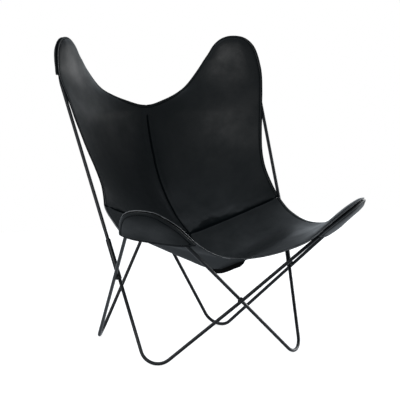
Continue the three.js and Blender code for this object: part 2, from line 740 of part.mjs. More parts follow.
// The leather turned down along a seam, as wide as one layer, on one side of the seam.
function flangeSolid(points, downs, aways) {
  const count = points.length;
  const positions = [];
  const index = [];
  points.forEach((point, i) => {
    const swell = Math.min(1, FLANGE_END_SLOPE * Math.sin((Math.PI * i) / (count - 1)));
    const depth = FLANGE_END_DEPTH + (FLANGE_DEPTH - FLANGE_END_DEPTH) * swell;
    const near = along(point, aways[i], SEAM_GAP / 2);
    const far = along(near, aways[i], LEATHER);
    const foot = (head) => along(head, downs[i], depth);
    for (const corner of [near, far, foot(far), foot(near)]) positions.push(...corner.toArray());
  });
  for (let i = 0; i < count - 1; i += 1) {
    for (let k = 0; k < 4; k += 1) {
      const [a, b] = [i * 4 + k, i * 4 + ((k + 1) % 4)];
      index.push(a, b, b + 4, a, b + 4, a + 4);
    }
  }
  const last = (count - 1) * 4;
  index.push(0, 2, 1, 0, 3, 2, last, last + 1, last + 2, last, last + 2, last + 3);
  return toManifold(facingOut(geometryOf(positions, index)));
}

function centreFlange(form) {
  const span = (row) => form.inner(row).distanceTo(form.inner(row + 1));
  const first = FLANGE_CLEARANCE / span(0);
  const last = form.corner - FLANGE_CLEARANCE / span(form.corner - 1);
  const count = 2 * form.corner + 1;
  const rows = Array.from({ length: count }, (_, i) => first + ((last - first) * i) / (count - 1));
  const downs = rows.map((row) => {
    const run = toward(form.inner(row - ROW_STEP), form.inner(row + ROW_STEP));
    const down = vec(0, run.z, -run.y);
    return down.dot(form.hook.inner) > 0 ? down.negate() : down;
  });
  return flangeSolid(rows.map((row) => form.inner(row)), downs, rows.map(() => vec(-1, 0, 0)));
}

// the same seam line serves both panels; each turns its edge down on its own side
function crossFlange(form) {
  const first = FLANGE_CLEARANCE / backForm.inner(0).distanceTo(backForm.outer(0));
  const points = Array.from({ length: FLANGE_STATIONS }, (_, i) => {
    const place = i / (FLANGE_STATIONS - 1);
    return backForm.point(0, first + (1 - 2 * first) * place);
  });
  const lean = toward(seatForm.inner(ROW_STEP), backForm.inner(ROW_STEP));
  if (form === seatForm) lean.negate();
  const runs = points.map((_, i) => {
    return toward(points[Math.max(i - 1, 0)], points[Math.min(i + 1, points.length - 1)]);
  });
  const aways = runs.map((run) => lean.clone().addScaledVector(run, -lean.dot(run)).normalize());
  const downs = runs.map((run, i) => {
    const down = run.clone().cross(aways[i]).normalize();
    return down.z > 0 ? down.negate() : down;
  });
  return flangeSolid(points, downs, aways);
}

const halfSpace = new THREE.BoxGeometry(2 * WING_HALF_SPAN, 4 * WING_REACH, 4 * WING_HEIGHT);
halfSpace.translate(-WING_HALF_SPAN - SEAM_GAP / 2, 0, 0);
const leftHalf = toManifold(halfSpace);

function panelGeometry(form) {
  const skin = toManifold(shellGeometry(panelGrid(form))).intersect(leftHalf);
  return fromManifold(skin.add(centreFlange(form)).add(crossFlange(form)));
}

function mirroredGeometry(geometry, side) {
  const copy = geometry.clone();
  copy.scale(-side, 1, 1);
  return facingOut(copy);
}

// ---- Assembly ----
const blackSteel = { color: 0x1c1d1f, roughness: 0.42, metalness: 0.55 };
const weldSteel = { color: 0x191a1b, roughness: 0.5, metalness: 0.5 };
const blackLeather = { color: 0x232527, roughness: 0.5, metalness: 0 };
const chair = new THREE.Group();
chair.name = 'butterfly_chair';

function add(name, geometry, finish) {
  const mesh = new THREE.Mesh(geometry, new THREE.MeshStandardMaterial(finish));
  mesh.name = name;
  chair.add(mesh);
}

// each base rod runs from one side to the other, so the right one carries the left hoop
add('base_rod_left', baseRodGeometry(halves.left), blackSteel);
add('base_rod_right', baseRodGeometry(halves.right), blackSteel);
for (const [name, half] of [['left', halves.right], ['right', halves.left]]) {
  add(`back_hoop_${name}`, rodGeometry(half.hoop), blackSteel);
  add(`side_sleeve_${name}`, sleeveGeometry(half.sleeveFoot, half.sideUp), blackSteel);
  add(`rear_sleeve_${name}`, sleeveGeometry(half.rearSleeveFoot, half.rearUp), blackSteel);
  add(`side_weld_${name}`, sideWeld(half), weldSteel);
}
add('front_weld', crossingWeld('frontCross', 'frontWay'), weldSteel);
add('rear_weld', crossingWeld('rearCross', 'rearWay'), weldSteel);

const leather = {
  back_panel: panelGeometry(backForm),
  seat_panel: panelGeometry(seatForm),
  hoop_pocket: shellGeometry(pocketGrid(backForm)),
  wing_pocket: shellGeometry(pocketGrid(seatForm)),
};
for (const [name, side] of [['left', LEFT], ['right', RIGHT]]) {
  for (const [piece, geometry] of Object.entries(leather)) {
    add(`${piece}_${name}`, mirroredGeometry(geometry, side), blackLeather);
  }
}

// the origin is on the floor, under the middle of the chair's length
const extent = new THREE.Box3().setFromObject(chair);
chair.position.y = -(extent.min.y + extent.max.y) / 2;

export default chair;
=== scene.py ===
"""Butterfly sling chair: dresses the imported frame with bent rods, welds and a stitched leather sling."""

import logging
import math
from collections.abc import Callable
from dataclasses import dataclass
from enum import Enum
from functools import partial

import bmesh
import bpy
from mathutils import Matrix, Vector, kdtree, noise
from mathutils.bvhtree import BVHTree


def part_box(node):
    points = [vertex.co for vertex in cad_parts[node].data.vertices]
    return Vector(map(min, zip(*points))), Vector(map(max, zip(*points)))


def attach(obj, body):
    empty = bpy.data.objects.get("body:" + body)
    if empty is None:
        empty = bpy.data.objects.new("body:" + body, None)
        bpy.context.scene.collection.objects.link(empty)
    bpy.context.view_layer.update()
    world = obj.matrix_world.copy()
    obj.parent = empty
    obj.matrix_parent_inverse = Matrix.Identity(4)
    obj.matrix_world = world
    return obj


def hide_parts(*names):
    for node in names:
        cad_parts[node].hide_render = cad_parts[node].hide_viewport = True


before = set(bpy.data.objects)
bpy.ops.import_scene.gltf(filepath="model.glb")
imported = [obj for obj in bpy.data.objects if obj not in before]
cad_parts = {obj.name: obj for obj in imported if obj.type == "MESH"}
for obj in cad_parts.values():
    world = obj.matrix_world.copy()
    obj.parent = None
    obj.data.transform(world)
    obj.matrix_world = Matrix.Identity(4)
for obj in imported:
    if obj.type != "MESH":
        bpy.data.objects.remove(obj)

LOG = logging.getLogger("butterfly_chair")
MM = 0.001
MERGED = 0.01 * MM  # what lies closer together is one vertex
NOISE_SEED = 1  # without one, noise_vector takes its offsets from the clock
BODY = "root"
LEATHER = 3.5 * MM
FIT_GAP = 0.3 * MM  # between pieces that fit closely
STITCH_INSET = 8 * MM  # from a free edge in to its stitches
Point = tuple[float, float, float]
AddNode = Callable[..., bpy.types.Node]


class Side(Enum):
    """Which half of the chair a piece belongs to, seen from the front of the chair."""

    LEFT = -1
    RIGHT = 1

    @property
    def word(self) -> str:
        """The side's name as the nodes write it."""
        return self.name.lower()


class Slot(Enum):
    """The chair's material slots."""

    RODS = "frame_rods"
    SLEEVES = "frame_sleeves"
    WELDS = "weld_beads"
    LEATHER = "sling_leather"


# Small helpers
def linear(code: str) -> tuple[float, float, float, float]:
    """Turns an sRGB hex colour into the linear colour that a shader takes.

    Args:
        code: Six hex digits.

    Returns:
        Red, green, blue and 1.
    """
    parts = [int(code[i : i + 2], 16) / 255 for i in (0, 2, 4)]
    low = [p / 12.92 if p <= 0.04045 else ((p + 0.055) / 1.055) ** 2.4 for p in parts]
    return (low[0], low[1], low[2], 1.0)


def clamp(value: float, low: float = 0.0, high: float = 1.0) -> float:
    """Keeps a value between two bounds."""
    return min(max(value, low), high)


def smooth(value: float) -> float:
    """Eases a share from 0 to 1, level at both ends."""
    share = clamp(value)
    return share * share * (3 - 2 * share)


def bell(place: float, middle: float, reach: float) -> float:
    """A bell curve: 1 at its middle and about a third one reach away."""
    return math.exp(-(((place - middle) / reach) ** 2))


def add_node(
    tree: bpy.types.NodeTree, kind: str, settings: dict | None = None, links: dict | None = None
) -> bpy.types.Node:
    """Adds one shader node with its settings and links.

    Args:
        tree: The node tree it goes into.
        kind: The node's type.
        settings: Values by property name, or by input socket name or index.
        links: Output sockets by the input socket that each feeds.

    Returns:
        The new node.
    """
    node = tree.nodes.new(kind)
    for key, value in (settings or {}).items():
        if isinstance(key, str) and hasattr(node, key):
            setattr(node, key, value)
        else:
            node.inputs[key].default_value = value
    for key, socket in (links or {}).items():
        tree.links.new(socket, node.inputs[key])
    return node


def new_material(name: str) -> tuple[bpy.types.Material, AddNode]:
    """Makes an empty node material.

    Args:
        name: The material's name.

    Returns:
        The material, and add_node for its tree.
    """
    material = bpy.data.materials.new(name)
    material.use_nodes = True
    material.node_tree.nodes.clear()
    return material, partial(add_node, material.node_tree)


def new_object(name: str, bm: bmesh.types.BMesh, finishes: list[bpy.types.Material]) -> bpy.types.Object:
    """Turns a bmesh into a smooth-shaded object at the origin.

    Args:
        name: The piece's name.
        bm: The bmesh, which is freed.
        finishes: The piece's materials, in slot order.

    Returns:
        The new object, linked to the scene.
    """
    mesh = bpy.data.meshes.new(name)
    bm.to_mesh(mesh)
    bm.free()
    mesh.shade_smooth()
    for finish in finishes:
        mesh.materials.append(finish)
    piece = bpy.data.objects.new(name, mesh)
    bpy.context.scene.collection.objects.link(piece)
    return piece


def settle(piece: bpy.types.Object, slot: Slot, *nodes: str) -> bpy.types.Object:
    """Makes a piece ride on the chair and stand for its nodes.

    Args:
        piece: The piece.
        slot: Its material slot; not used.
        nodes: The nodes that it replaces, if any.

    Returns:
        The same piece.
    """
    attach(piece, BODY)
    if nodes:
        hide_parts(*nodes)
    LOG.info("%s: %d vertices", piece.name, len(piece.data.vertices))
    return piece


# Finishes
@dataclass(frozen=True)
class PowderCoat:
    """Polyester powder coat on mild steel, baked black: half gloss, with a faint orange peel."""

    name: str = "black_powder_coat"
    colour: str = "232528"
    worn: str = "34373a"
    smoothest: float = 0.33
    roughest: float = 0.47
    peel_mm: float = 1.6  # real peel is under 1 mm; drawn coarser so that it shows
    peel_depth_mm: float = 0.05
    cloud_mm: float = 55.0

    def material(self) -> bpy.types.Material:
        """Builds the material.

        Returns:
            The material.
        """
        material, add = new_material(self.name)
        place = add("ShaderNodeTexCoord").outputs["Object"]
        cloud = add(
            "ShaderNodeTexNoise", {"Scale": 1 / (self.cloud_mm * MM), "Detail": 3.0}, {"Vector": place}
        )
        peel = add(
            "ShaderNodeTexNoise", {"Scale": 1 / (self.peel_mm * MM), "Detail": 1.0}, {"Vector": place}
        )
        colour = add(
            "ShaderNodeMix",
            {"data_type": "RGBA", 6: linear(self.colour), 7: linear(self.worn)},
            {0: cloud.outputs["Fac"]},
        )
        rough = add(
            "ShaderNodeMapRange",
            {"To Min": self.smoothest, "To Max": self.roughest},
            {"Value": cloud.outputs["Fac"]},
        )
        bump = add(
            "ShaderNodeBump",
            {"Strength": 0.5, "Distance": self.peel_depth_mm * MM},
            {"Height": peel.outputs["Fac"]},
        )
        shader = add(
            "ShaderNodeBsdfPrincipled",
            {"IOR": 1.5},
            {"Base Color": colour.outputs[2], "Roughness": rough.outputs[0], "Normal": bump.outputs[0]},
        )
        add("ShaderNodeOutputMaterial", links={"Surface": shader.outputs[0]})
        return material


@dataclass(frozen=True)
class SaddleLeather:
    """Thick saddle leather, dyed through and waxed: fine pebble grain, half matt; pale burnished edges with
    a painted highlight, and painted shade in its grooves and seams.
    """

    name: str = "black_saddle_leather"
    dye: str = "15191b"
    bloom: str = "202628"
    # the cut edge's pale burnish, made paler to paint the highlight that the edge catches
    burnish: str = "8e9092"
    # painted shade, laid in the stitch furrows and along the seams' grooves
    shade: str = "101619"
    smoothest: float = 0.42
    roughest: float = 0.55
    matt: float = 0.9
    grain_mm: float = 1.7  # real pores are about 1 mm apart; drawn coarser so that they show
    grain_depth_mm: float = 0.07
    crease_mm: float = 14.0
    crease_depth_mm: float = 0.14
    cloud_mm: float = 85.0
    burnish_highlight_mm: float = 1.8
    stitch_mm: float = STITCH_INSET / MM
    stitch_reach_mm: float = 2.8
    seam_from_mm: float = 2.8
    seam_reach_mm: float = 4.0
    wax_spread: float = 0.2  # how much of the cloud's middle the change from smooth to rough takes
    sheen_spread: float = 0.15
    dry: float = 0.34
    oiled: float = 0.54
    grooved: float = 0.05

    def material(self) -> bpy.types.Material:
        """Builds the material; edge_mm says how far a place is from a cut edge, and seam_mm how far from a
        seam, lowered where shade is painted.

        Returns:
            The material.
        """
        material, add = new_material(self.name)
        place = add("ShaderNodeTexCoord").outputs["Object"]
        cloud = add(
            "ShaderNodeTexNoise",
            {"Scale": 1 / (self.cloud_mm * MM), "Detail": 5.0, "Roughness": 0.6},
            {"Vector": place},
        )
        pores = add(
            "ShaderNodeTexVoronoi",
            {"feature": "SMOOTH_F1", "Scale": 1 / (self.grain_mm * MM)},
            {"Vector": place},
        )
        crease = add(
            "ShaderNodeTexNoise",
            {"Scale": 1 / (self.crease_mm * MM), "Detail": 4.0, "Distortion": 0.8},
            {"Vector": place},
        )
        edge = add("ShaderNodeAttribute", {"attribute_name": "edge_mm"}).outputs["Fac"]
        seam = add("ShaderNodeAttribute", {"attribute_name": "seam_mm"}).outputs["Fac"]
        offset = add("ShaderNodeMath", {"operation": "SUBTRACT", 1: self.stitch_mm}, {0: edge})
        apart = add("ShaderNodeMath", {"operation": "ABSOLUTE"}, {0: offset.outputs[0]}).outputs[0]
        # each is 1 at its line and fades out over its reach
        burnish_and_highlight_mask, stitched, sunk = (
            add(
                "ShaderNodeMapRange",
                {
                    "From Min": near,
                    "From Max": far,
                    "To Min": 1.0,
                    "To Max": 0.0,
                    "interpolation_type": "SMOOTHSTEP",
                },
                {"Value": distance},
            ).outputs[0]
            for distance, near, far in (
                (edge, 0.0, self.burnish_highlight_mm),
                (apart, 0.0, self.stitch_reach_mm),
                (seam, self.seam_from_mm, self.seam_reach_mm),
            )
        )
        # painted shade along the stitch line and the seams' grooves
        furrow = add("ShaderNodeMath", {"operation": "MAXIMUM"}, {0: stitched, 1: sunk})
        colour = add(
            "ShaderNodeMix",
            {"data_type": "RGBA", 6: linear(self.dye), 7: linear(self.bloom)},
            {0: cloud.outputs["Fac"]},
        )
        # the cut edge gets the pale burnish with its painted highlight, and the furrows get painted shade
        for tone, mask in ((self.burnish, burnish_and_highlight_mask), (self.shade, furrow.outputs[0])):
            links = {0: mask, 6: colour.outputs[2]}
            colour = add("ShaderNodeMix", {"data_type": "RGBA", 7: linear(tone)}, links)
        # the wax lies thicker in some places, which breaks the sheen into soft patches; a groove sees
        # little of the room, so it is matt and its sheen is taken out, as painted shade
        rough, sheen = (
            add(
                "ShaderNodeMix",
                {3: grooved},
                {
                    0: furrow.outputs[0],
                    2: add(
                        "ShaderNodeMapRange",
                        {
                            "From Min": 0.5 - spread,
                            "From Max": 0.5 + spread,
                            "To Min": waxed,
                            "To Max": bare,
                        },
                        {"Value": cloud.outputs["Fac"]},
                    ).outputs[0],
                },
            )
            for spread, waxed, bare, grooved in (
                (self.wax_spread, self.smoothest, self.roughest, self.matt),
                (self.sheen_spread, self.oiled, self.dry, self.grooved),
            )
        )
        folds = add(
            "ShaderNodeBump",
            {"Strength": 0.5, "Distance": self.crease_depth_mm * MM},
            {"Height": crease.outputs["Fac"]},
        )
        grain = add(
            "ShaderNodeBump",
            {"Strength": 0.5, "Distance": self.grain_depth_mm * MM},
            {"Height": pores.outputs["Distance"], "Normal": folds.outputs[0]},
        )
        shader = add(
            "ShaderNodeBsdfPrincipled",
            {"IOR": 1.5},
            {
                "Base Color": colour.outputs[2],
                "Roughness": rough.outputs[0],
                "Specular IOR Level": sheen.outputs[0],
                "Normal": grain.outputs[0],
            },
        )
        add("ShaderNodeOutputMaterial", links={"Surface": shader.outputs[0]})
        return material


@dataclass(frozen=True)
class FleshSide:
    """The flesh side of the same hide: dyed, sueded and duller, with a short loose nap."""

    name: str = "black_leather_flesh_side"
    colour: str = "2a2d2f"
    nap: str = "3b4043"
    roughness: float = 0.72
    nap_mm: float = 2.2
    nap_depth_mm: float = 0.12
    cloud_mm: float = 60.0
    # painted shade, with less sheen, on turned-down allowances and close to seams
    shade: str = "040505"
    shade_reach_mm: float = 2.4
    sheen: float = 0.45
    shaded_sheen: float = 0.08

    def material(self) -> bpy.types.Material:
        """Builds the material; seam_mm is 0 all over a turned-down allowance, which is painted in shade.

        Returns:
            The material.
        """
        material, add = new_material(self.name)
        place = add("ShaderNodeTexCoord").outputs["Object"]
        cloud = add(
            "ShaderNodeTexNoise",
            {"Scale": 1 / (self.cloud_mm * MM), "Detail": 6.0, "Roughness": 0.7},
            {"Vector": place},
        )
        nap = add(
            "ShaderNodeTexNoise", {"Scale": 1 / (self.nap_mm * MM), "Detail": 3.0}, {"Vector": place}
        )
        colour = add(
            "ShaderNodeMix",
            {"data_type": "RGBA", 6: linear(self.colour), 7: linear(self.nap)},
            {0: cloud.outputs["Fac"]},
        )
        seam = add("ShaderNodeAttribute", {"attribute_name": "seam_mm"}).outputs["Fac"]
        turned = add(
            "ShaderNodeMapRange",
            {"From Max": self.shade_reach_mm, "To Min": 1.0, "To Max": 0.0},
            {"Value": seam},
        )
        shaded = add(
            "ShaderNodeMix",
            {"data_type": "RGBA", 7: linear(self.shade)},
            {0: turned.outputs[0], 6: colour.outputs[2]},
        )
        sheen = add("ShaderNodeMix", {2: self.sheen, 3: self.shaded_sheen}, {0: turned.outputs[0]})
        bump = add(
            "ShaderNodeBump",
            {"Strength": 0.6, "Distance": self.nap_depth_mm * MM},
            {"Height": nap.outputs["Fac"]},
        )
        shader = add(
            "ShaderNodeBsdfPrincipled",
            {"Roughness": self.roughness},
            {
                "Base Color": shaded.outputs[2],
                "Specular IOR Level": sheen.outputs[0],
                "Normal": bump.outputs[0],
            },
        )
        add("ShaderNodeOutputMaterial", links={"Surface": shader.outputs[0]})
        return material


@dataclass(frozen=True)
class WaxedThread:
    """Bonded polyester saddle thread, black and waxed: two plies that show as a slant along each stitch."""

    name: str = "black_waxed_thread"
    colour: str = "101112"
    ply: str = "2a2c2e"
    ply_mm: float = 1.1

    def material(self) -> bpy.types.Material:
        """Builds the material.

        Returns:
            The material.
        """
        material, add = new_material(self.name)
        place = add("ShaderNodeTexCoord").outputs["Object"]
        plies = add(
            "ShaderNodeTexWave",
            {"bands_direction": "DIAGONAL", "Scale": 1 / (self.ply_mm * MM) / math.tau, "Distortion": 1.0},
            {"Vector": place},
        )
        colour = add(
            "ShaderNodeMix",
            {"data_type": "RGBA", 6: linear(self.colour), 7: linear(self.ply)},
            {0: plies.outputs["Fac"]},
        )
        shader = add("ShaderNodeBsdfPrincipled", {"Roughness": 0.5}, {"Base Color": colour.outputs[2]})
        add("ShaderNodeOutputMaterial", links={"Surface": shader.outputs[0]})
        return material


@dataclass(frozen=True)
class StudioFloor:
    """Matt white paper, lit from below as a photographer's table is, so that it shows almost no shadow."""

    name: str = "studio_paper"
    colour: str = "f0f0f0"
    glow: float = 0.8

    def material(self) -> bpy.types.Material:
        """Builds the material.

        Returns:
            The material.
        """
        material, add = new_material(self.name)
        shader = add(
            "ShaderNodeBsdfPrincipled",
            {
                "Base Color": linear(self.colour),
                "Roughness": 0.9,
                "Specular IOR Level": 0.1,
                "Emission Color": (1.0, 1.0, 1.0, 1.0),
                "Emission Strength": self.glow,
            },
        )
        add("ShaderNodeOutputMaterial", links={"Surface": shader.outputs[0]})
        return material


# Frame layout
def mirrored(place: Vector, side: int = -1) -> Vector:
    """A place on the right moved to a side: 1 keeps it, -1 mirrors it."""
    return Vector((place.x * side, place.y, place.z))


def toward(start: Vector, end: Vector) -> Vector:
    """The unit way from one place to another."""
    return (end - start).normalized()


class Bend:
    """A round bend at a corner between two straight runs."""

    SAMPLES = 24  # places tried along a bend for its lowest

    def __init__(self, before: Vector, corner: Vector, after: Vector, radius: float) -> None:
        """Works out where the bend starts and ends and what it turns about.

        Args:
            before: Where the run into the bend comes from.
            corner: Where the two runs would meet.
            after: Where the run out of it goes to.
            radius: The radius of the rod's axis.
        """
        back, onward = toward(corner, before), toward(corner, after)
        half = back.angle(onward) / 2
        middle = (back + onward).normalized()
        self.entry = corner + back * (radius / math.tan(half))
        self.leave = corner + onward * (radius / math.tan(half))
        self.centre = corner + middle * (radius / math.sin(half))
        self.turn = math.pi - 2 * half
        self.axis = (self.entry - self.centre).cross(-middle).normalized()

    def lowest(self) -> float:
        """The height of the bend's lowest point.

        Returns:
            The height in metres.
        """
        spoke = self.entry - self.centre
        angles = (self.turn * i / self.SAMPLES for i in range(self.SAMPLES + 1))
        turns = (Matrix.Rotation(angle, 3, self.axis) for angle in angles)
        return min((turned @ spoke + self.centre).z for turned in turns)


@dataclass
class FrameHalf:
    """The base rod whose wing corner is on one side, and the sleeves and hoop at its ends."""

    base: list[Vector]
    hoop: list[Vector]
    front_cross: Vector
    rear_cross: Vector
    side_mouth: Vector
    side_way: Vector
    rear_mouth: Vector
    rear_way: Vector


@dataclass
class FrameLayout:
    """The frame's driving dimensions, in metres, and the places worked out from them."""

    rod_radius: float = 5 * MM
    sleeve_radius: float = 7 * MM
    fit_gap: float = FIT_GAP
    front_foot_half_span: float = 244 * MM
    front_foot_reach: float = 222 * MM
    back_foot_half_span: float = 201 * MM
    back_foot_setback: float = 222 * MM
    foot_radius: float = 49 * MM
    foot_flat: float = 0.5 * MM
    wing_half_span: float = 377 * MM
    wing_reach: float = 413 * MM
    wing_height: float = 501 * MM
    wing_radius: float = 50 * MM
    rear_crossing_setback: float = 264 * MM
    rear_crossing_height: float = 343 * MM
    side_crossing_share: float = 0.486  # along the wing rod, from the back foot to the wing corner
    sleeve_length: float = 118 * MM
    side_sleeve_tail: float = 8 * MM
    rear_sleeve_rise: float = 24 * MM
    rod_end_gap: float = 2 * MM
    hoop_exit_rise: float = 14 * MM
    hoop_height: float = 870 * MM
    hoop_half_span: float = 284 * MM
    hoop_setback: float = 286 * MM
    hoop_top_width: float = 110 * MM
    hoop_radius: float = 60 * MM
    hoop_turn: float = math.radians(43)
    shoulder_height: float = 756 * MM
    shoulder_half_span: float = 272 * MM
    shoulder_setback: float = 266 * MM
    shoulder_width: float = 150 * MM
    cross_seam_setback: float = 19 * MM
    cross_seam_height: float = 319 * MM
    shift: float = 0.0  # from the frame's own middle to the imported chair's
    lean_rounds: int = 6  # a foot's place and its sleeve's lean follow from each other
    settle_rounds: int = 12

    def __post_init__(self) -> None:
        """Works out the places of the rod whose wing corner is on the right, and of the left hoop."""
        self.wing = self.at(self.wing_half_span, -self.wing_reach, self.wing_height)
        self.rear_cross = self.at(0, self.rear_crossing_setback, self.rear_crossing_height)
        back_guess = self.at(self.back_foot_half_span, self.back_foot_setback, 0)
        self.back_foot = self.settled(back_guess, self.rear_cross, self.wing)
        climb = toward(mirrored(self.back_foot), mirrored(self.wing))
        self.crossed = mirrored(self.back_foot.lerp(self.wing, self.side_crossing_share))
        front_guess = self.at(-self.front_foot_half_span, -self.front_foot_reach, 0)
        apart = self.rod_radius + self.sleeve_radius + self.fit_gap
        self.front_foot = front_guess
        for _ in range(self.lean_rounds):
            normal = climb.cross(toward(self.front_foot, self.crossed)).normalized()
            self.side_cross = self.crossed + normal * math.copysign(apart, normal.x)
            self.front_foot = self.settled(front_guess, self.side_cross, self.wing)
        self.up = toward(self.front_foot, self.side_cross)
        self.sleeve_foot = self.side_cross - self.up * self.side_sleeve_tail
        self.sleeve_top = self.sleeve_foot + self.up * self.sleeve_length
        span = -self.front_foot.x / (self.wing.x - self.front_foot.x)
        self.front_cross = self.front_foot.lerp(self.wing, span)
        self.outward = Vector((-math.cos(self.hoop_turn), -math.sin(self.hoop_turn), 0))
        self.top = self.at(-self.hoop_half_span, self.hoop_setback, self.hoop_height)
        shoulder = self.at(-self.shoulder_half_span, self.shoulder_setback, self.shoulder_height)
        self.shoulder = shoulder - self.outward * (shoulder - self.top).dot(self.outward)
        self.front_shoulder = self.shoulder + self.outward * self.shoulder_width / 2
        self.rear_shoulder = self.shoulder - self.outward * self.shoulder_width / 2
        self.front_top = self.top + self.outward * self.hoop_top_width / 2
        self.rear_top = self.top - self.outward * self.hoop_top_width / 2
        self.seam_middle = self.at(0, self.cross_seam_setback, self.cross_seam_height)

    @classmethod
    def in_frame(cls) -> "FrameLayout":
        """The layout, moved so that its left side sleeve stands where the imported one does.

        Returns:
            The layout.
        """
        low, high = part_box("side_sleeve_left")
        bare = cls()
        middle = bare.sleeve_foot.lerp(bare.sleeve_top, 0.5)
        return cls(shift=(low.y + high.y) / 2 - middle.y)

    def at(self, x: float, y: float, z: float) -> Vector:
        """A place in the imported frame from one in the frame's own."""
        return Vector((x, y + self.shift, z))

    def settled(self, guess: Vector, before: Vector, after: Vector) -> Vector:
        """Lowers or lifts a foot's corner until its bend stands on the floor.

        Args:
            guess: The corner's place, at any height.
            before: Where the run into the foot comes from.
            after: Where the run out of it goes to.

        Returns:
            The settled corner.
        """
        corner = guess.copy()
        for _ in range(self.settle_rounds):
            bend = Bend(before, corner, after, self.foot_radius)
            corner.z += self.rod_radius - self.foot_flat - bend.lowest()
        return corner

    def half(self, side: Side) -> FrameHalf:
        """One half of the frame, by the side of its base rod's wing corner.

        Args:
            side: The wing corner's side; the right rod passes in front at both crossings.

        Returns:
            The half, whose hoop stands on the other side.
        """
        sign = side.value
        step = (self.rod_radius + self.fit_gap / 2) * sign
        wing, front_foot, back_foot, front_shoulder, front_top, rear_top, rear_shoulder = (
            mirrored(place, sign)
            for place in (
                self.wing,
                self.front_foot,
                self.back_foot,
                self.front_shoulder,
                self.front_top,
                self.rear_top,
                self.rear_shoulder,
            )
        )
        front_cross = self.front_cross + self.frontward(toward(front_foot, wing)) * step
        rear_cross = self.rear_cross + self.frontward(toward(self.rear_cross, rear_shoulder)) * step
        rear_way = toward(rear_cross, rear_shoulder)
        rear_mouth = rear_cross + rear_way * self.rear_sleeve_rise
        rear_middle = rear_mouth + rear_way * self.sleeve_length / 2
        side_way = mirrored(self.up, sign)
        side_mouth = mirrored(self.sleeve_foot, sign)
        side_middle = side_mouth + side_way * self.sleeve_length / 2
        gap = self.rod_end_gap / 2
        start = side_middle - side_way * gap
        base = [
            start,
            self.settled(front_foot, start, front_cross),
            front_cross,
            wing,
            self.settled(back_foot, wing, rear_cross),
            rear_cross,
            rear_middle - rear_way * gap,
        ]
        hoop = [
            side_middle + side_way * gap,
            mirrored(self.sleeve_top, sign) + side_way * self.hoop_exit_rise,
            front_shoulder,
            front_top,
            rear_top,
            rear_shoulder,
            rear_middle + rear_way * gap,
        ]
        return FrameHalf(base, hoop, front_cross, rear_cross, side_mouth, side_way, rear_mouth, rear_way)

    @staticmethod
    def frontward(way: Vector) -> Vector:
        """Square to a run and its mirror image where they cross, and pointing to the front."""
        normal = way.cross(mirrored(way)).normalized()
        return -normal if normal.y > 0 else normal


# Steel frame
@dataclass
class BentRod:
    """A round rod with straight runs between corners that are bent to their radii."""

    corners: list[Vector]
    radii: list[float]
    radius: float
    sides: int = 24
    bend_step: float = math.radians(4)

    def mesh(self) -> bmesh.types.BMesh:
        """Draws a ring along the rod: extruded over each straight run and spun round each bend.

        Returns:
            The rod, closed at both ends.
        """
        here = self.corners[0]
        turn = toward(here, self.corners[1]).to_track_quat("Z", "Y").to_matrix().to_4x4()
        bm = bmesh.new()
        start = Matrix.Translation(here) @ turn
        bmesh.ops.create_circle(bm, segments=self.sides, radius=self.radius, matrix=start)
        ring = list(bm.edges)
        runs = zip(self.corners, self.corners[1:], self.corners[2:], self.radii)
        for before, corner, after, radius in runs:
            bend = Bend(before, corner, after, radius)
            ring = self.run(bm, ring, bend.entry - here)
            spun = bmesh.ops.spin(
                bm,
                geom=ring,
                cent=bend.centre,
                axis=bend.axis,
                angle=bend.turn,
                steps=max(2, math.ceil(bend.turn / self.bend_step)),
            )
            ring = [e for e in spun["geom_last"] if isinstance(e, bmesh.types.BMEdge)]
            here = bend.leave
        self.run(bm, ring, self.corners[-1] - here)
        bmesh.ops.remove_doubles(bm, verts=bm.verts, dist=MERGED / 10)
        bmesh.ops.holes_fill(bm, edges=[e for e in bm.edges if e.is_boundary], sides=0)
        bmesh.ops.recalc_face_normals(bm, faces=bm.faces)
        for vert in bm.verts:
            vert.co.z = max(vert.co.z, 0.0)  # flat where a foot bears on the floor
        return bm

    @staticmethod
    def run(bm: bmesh.types.BMesh, ring: list[bmesh.types.BMEdge], way: Vector) -> list[bmesh.types.BMEdge]:
        """Extrudes a ring along a straight run.

        Args:
            bm: The rod's bmesh.
            ring: The edges to extrude.
            way: How far and which way.

        Returns:
            The edges at the far end.
        """
        drawn = bmesh.ops.extrude_edge_only(bm, edges=ring)["geom"]
        ends = [v for v in drawn if isinstance(v, bmesh.types.BMVert)]
        bmesh.ops.translate(bm, verts=ends, vec=way)
        return [e for e in drawn if isinstance(e, bmesh.types.BMEdge) and all(v in ends for v in e.verts)]


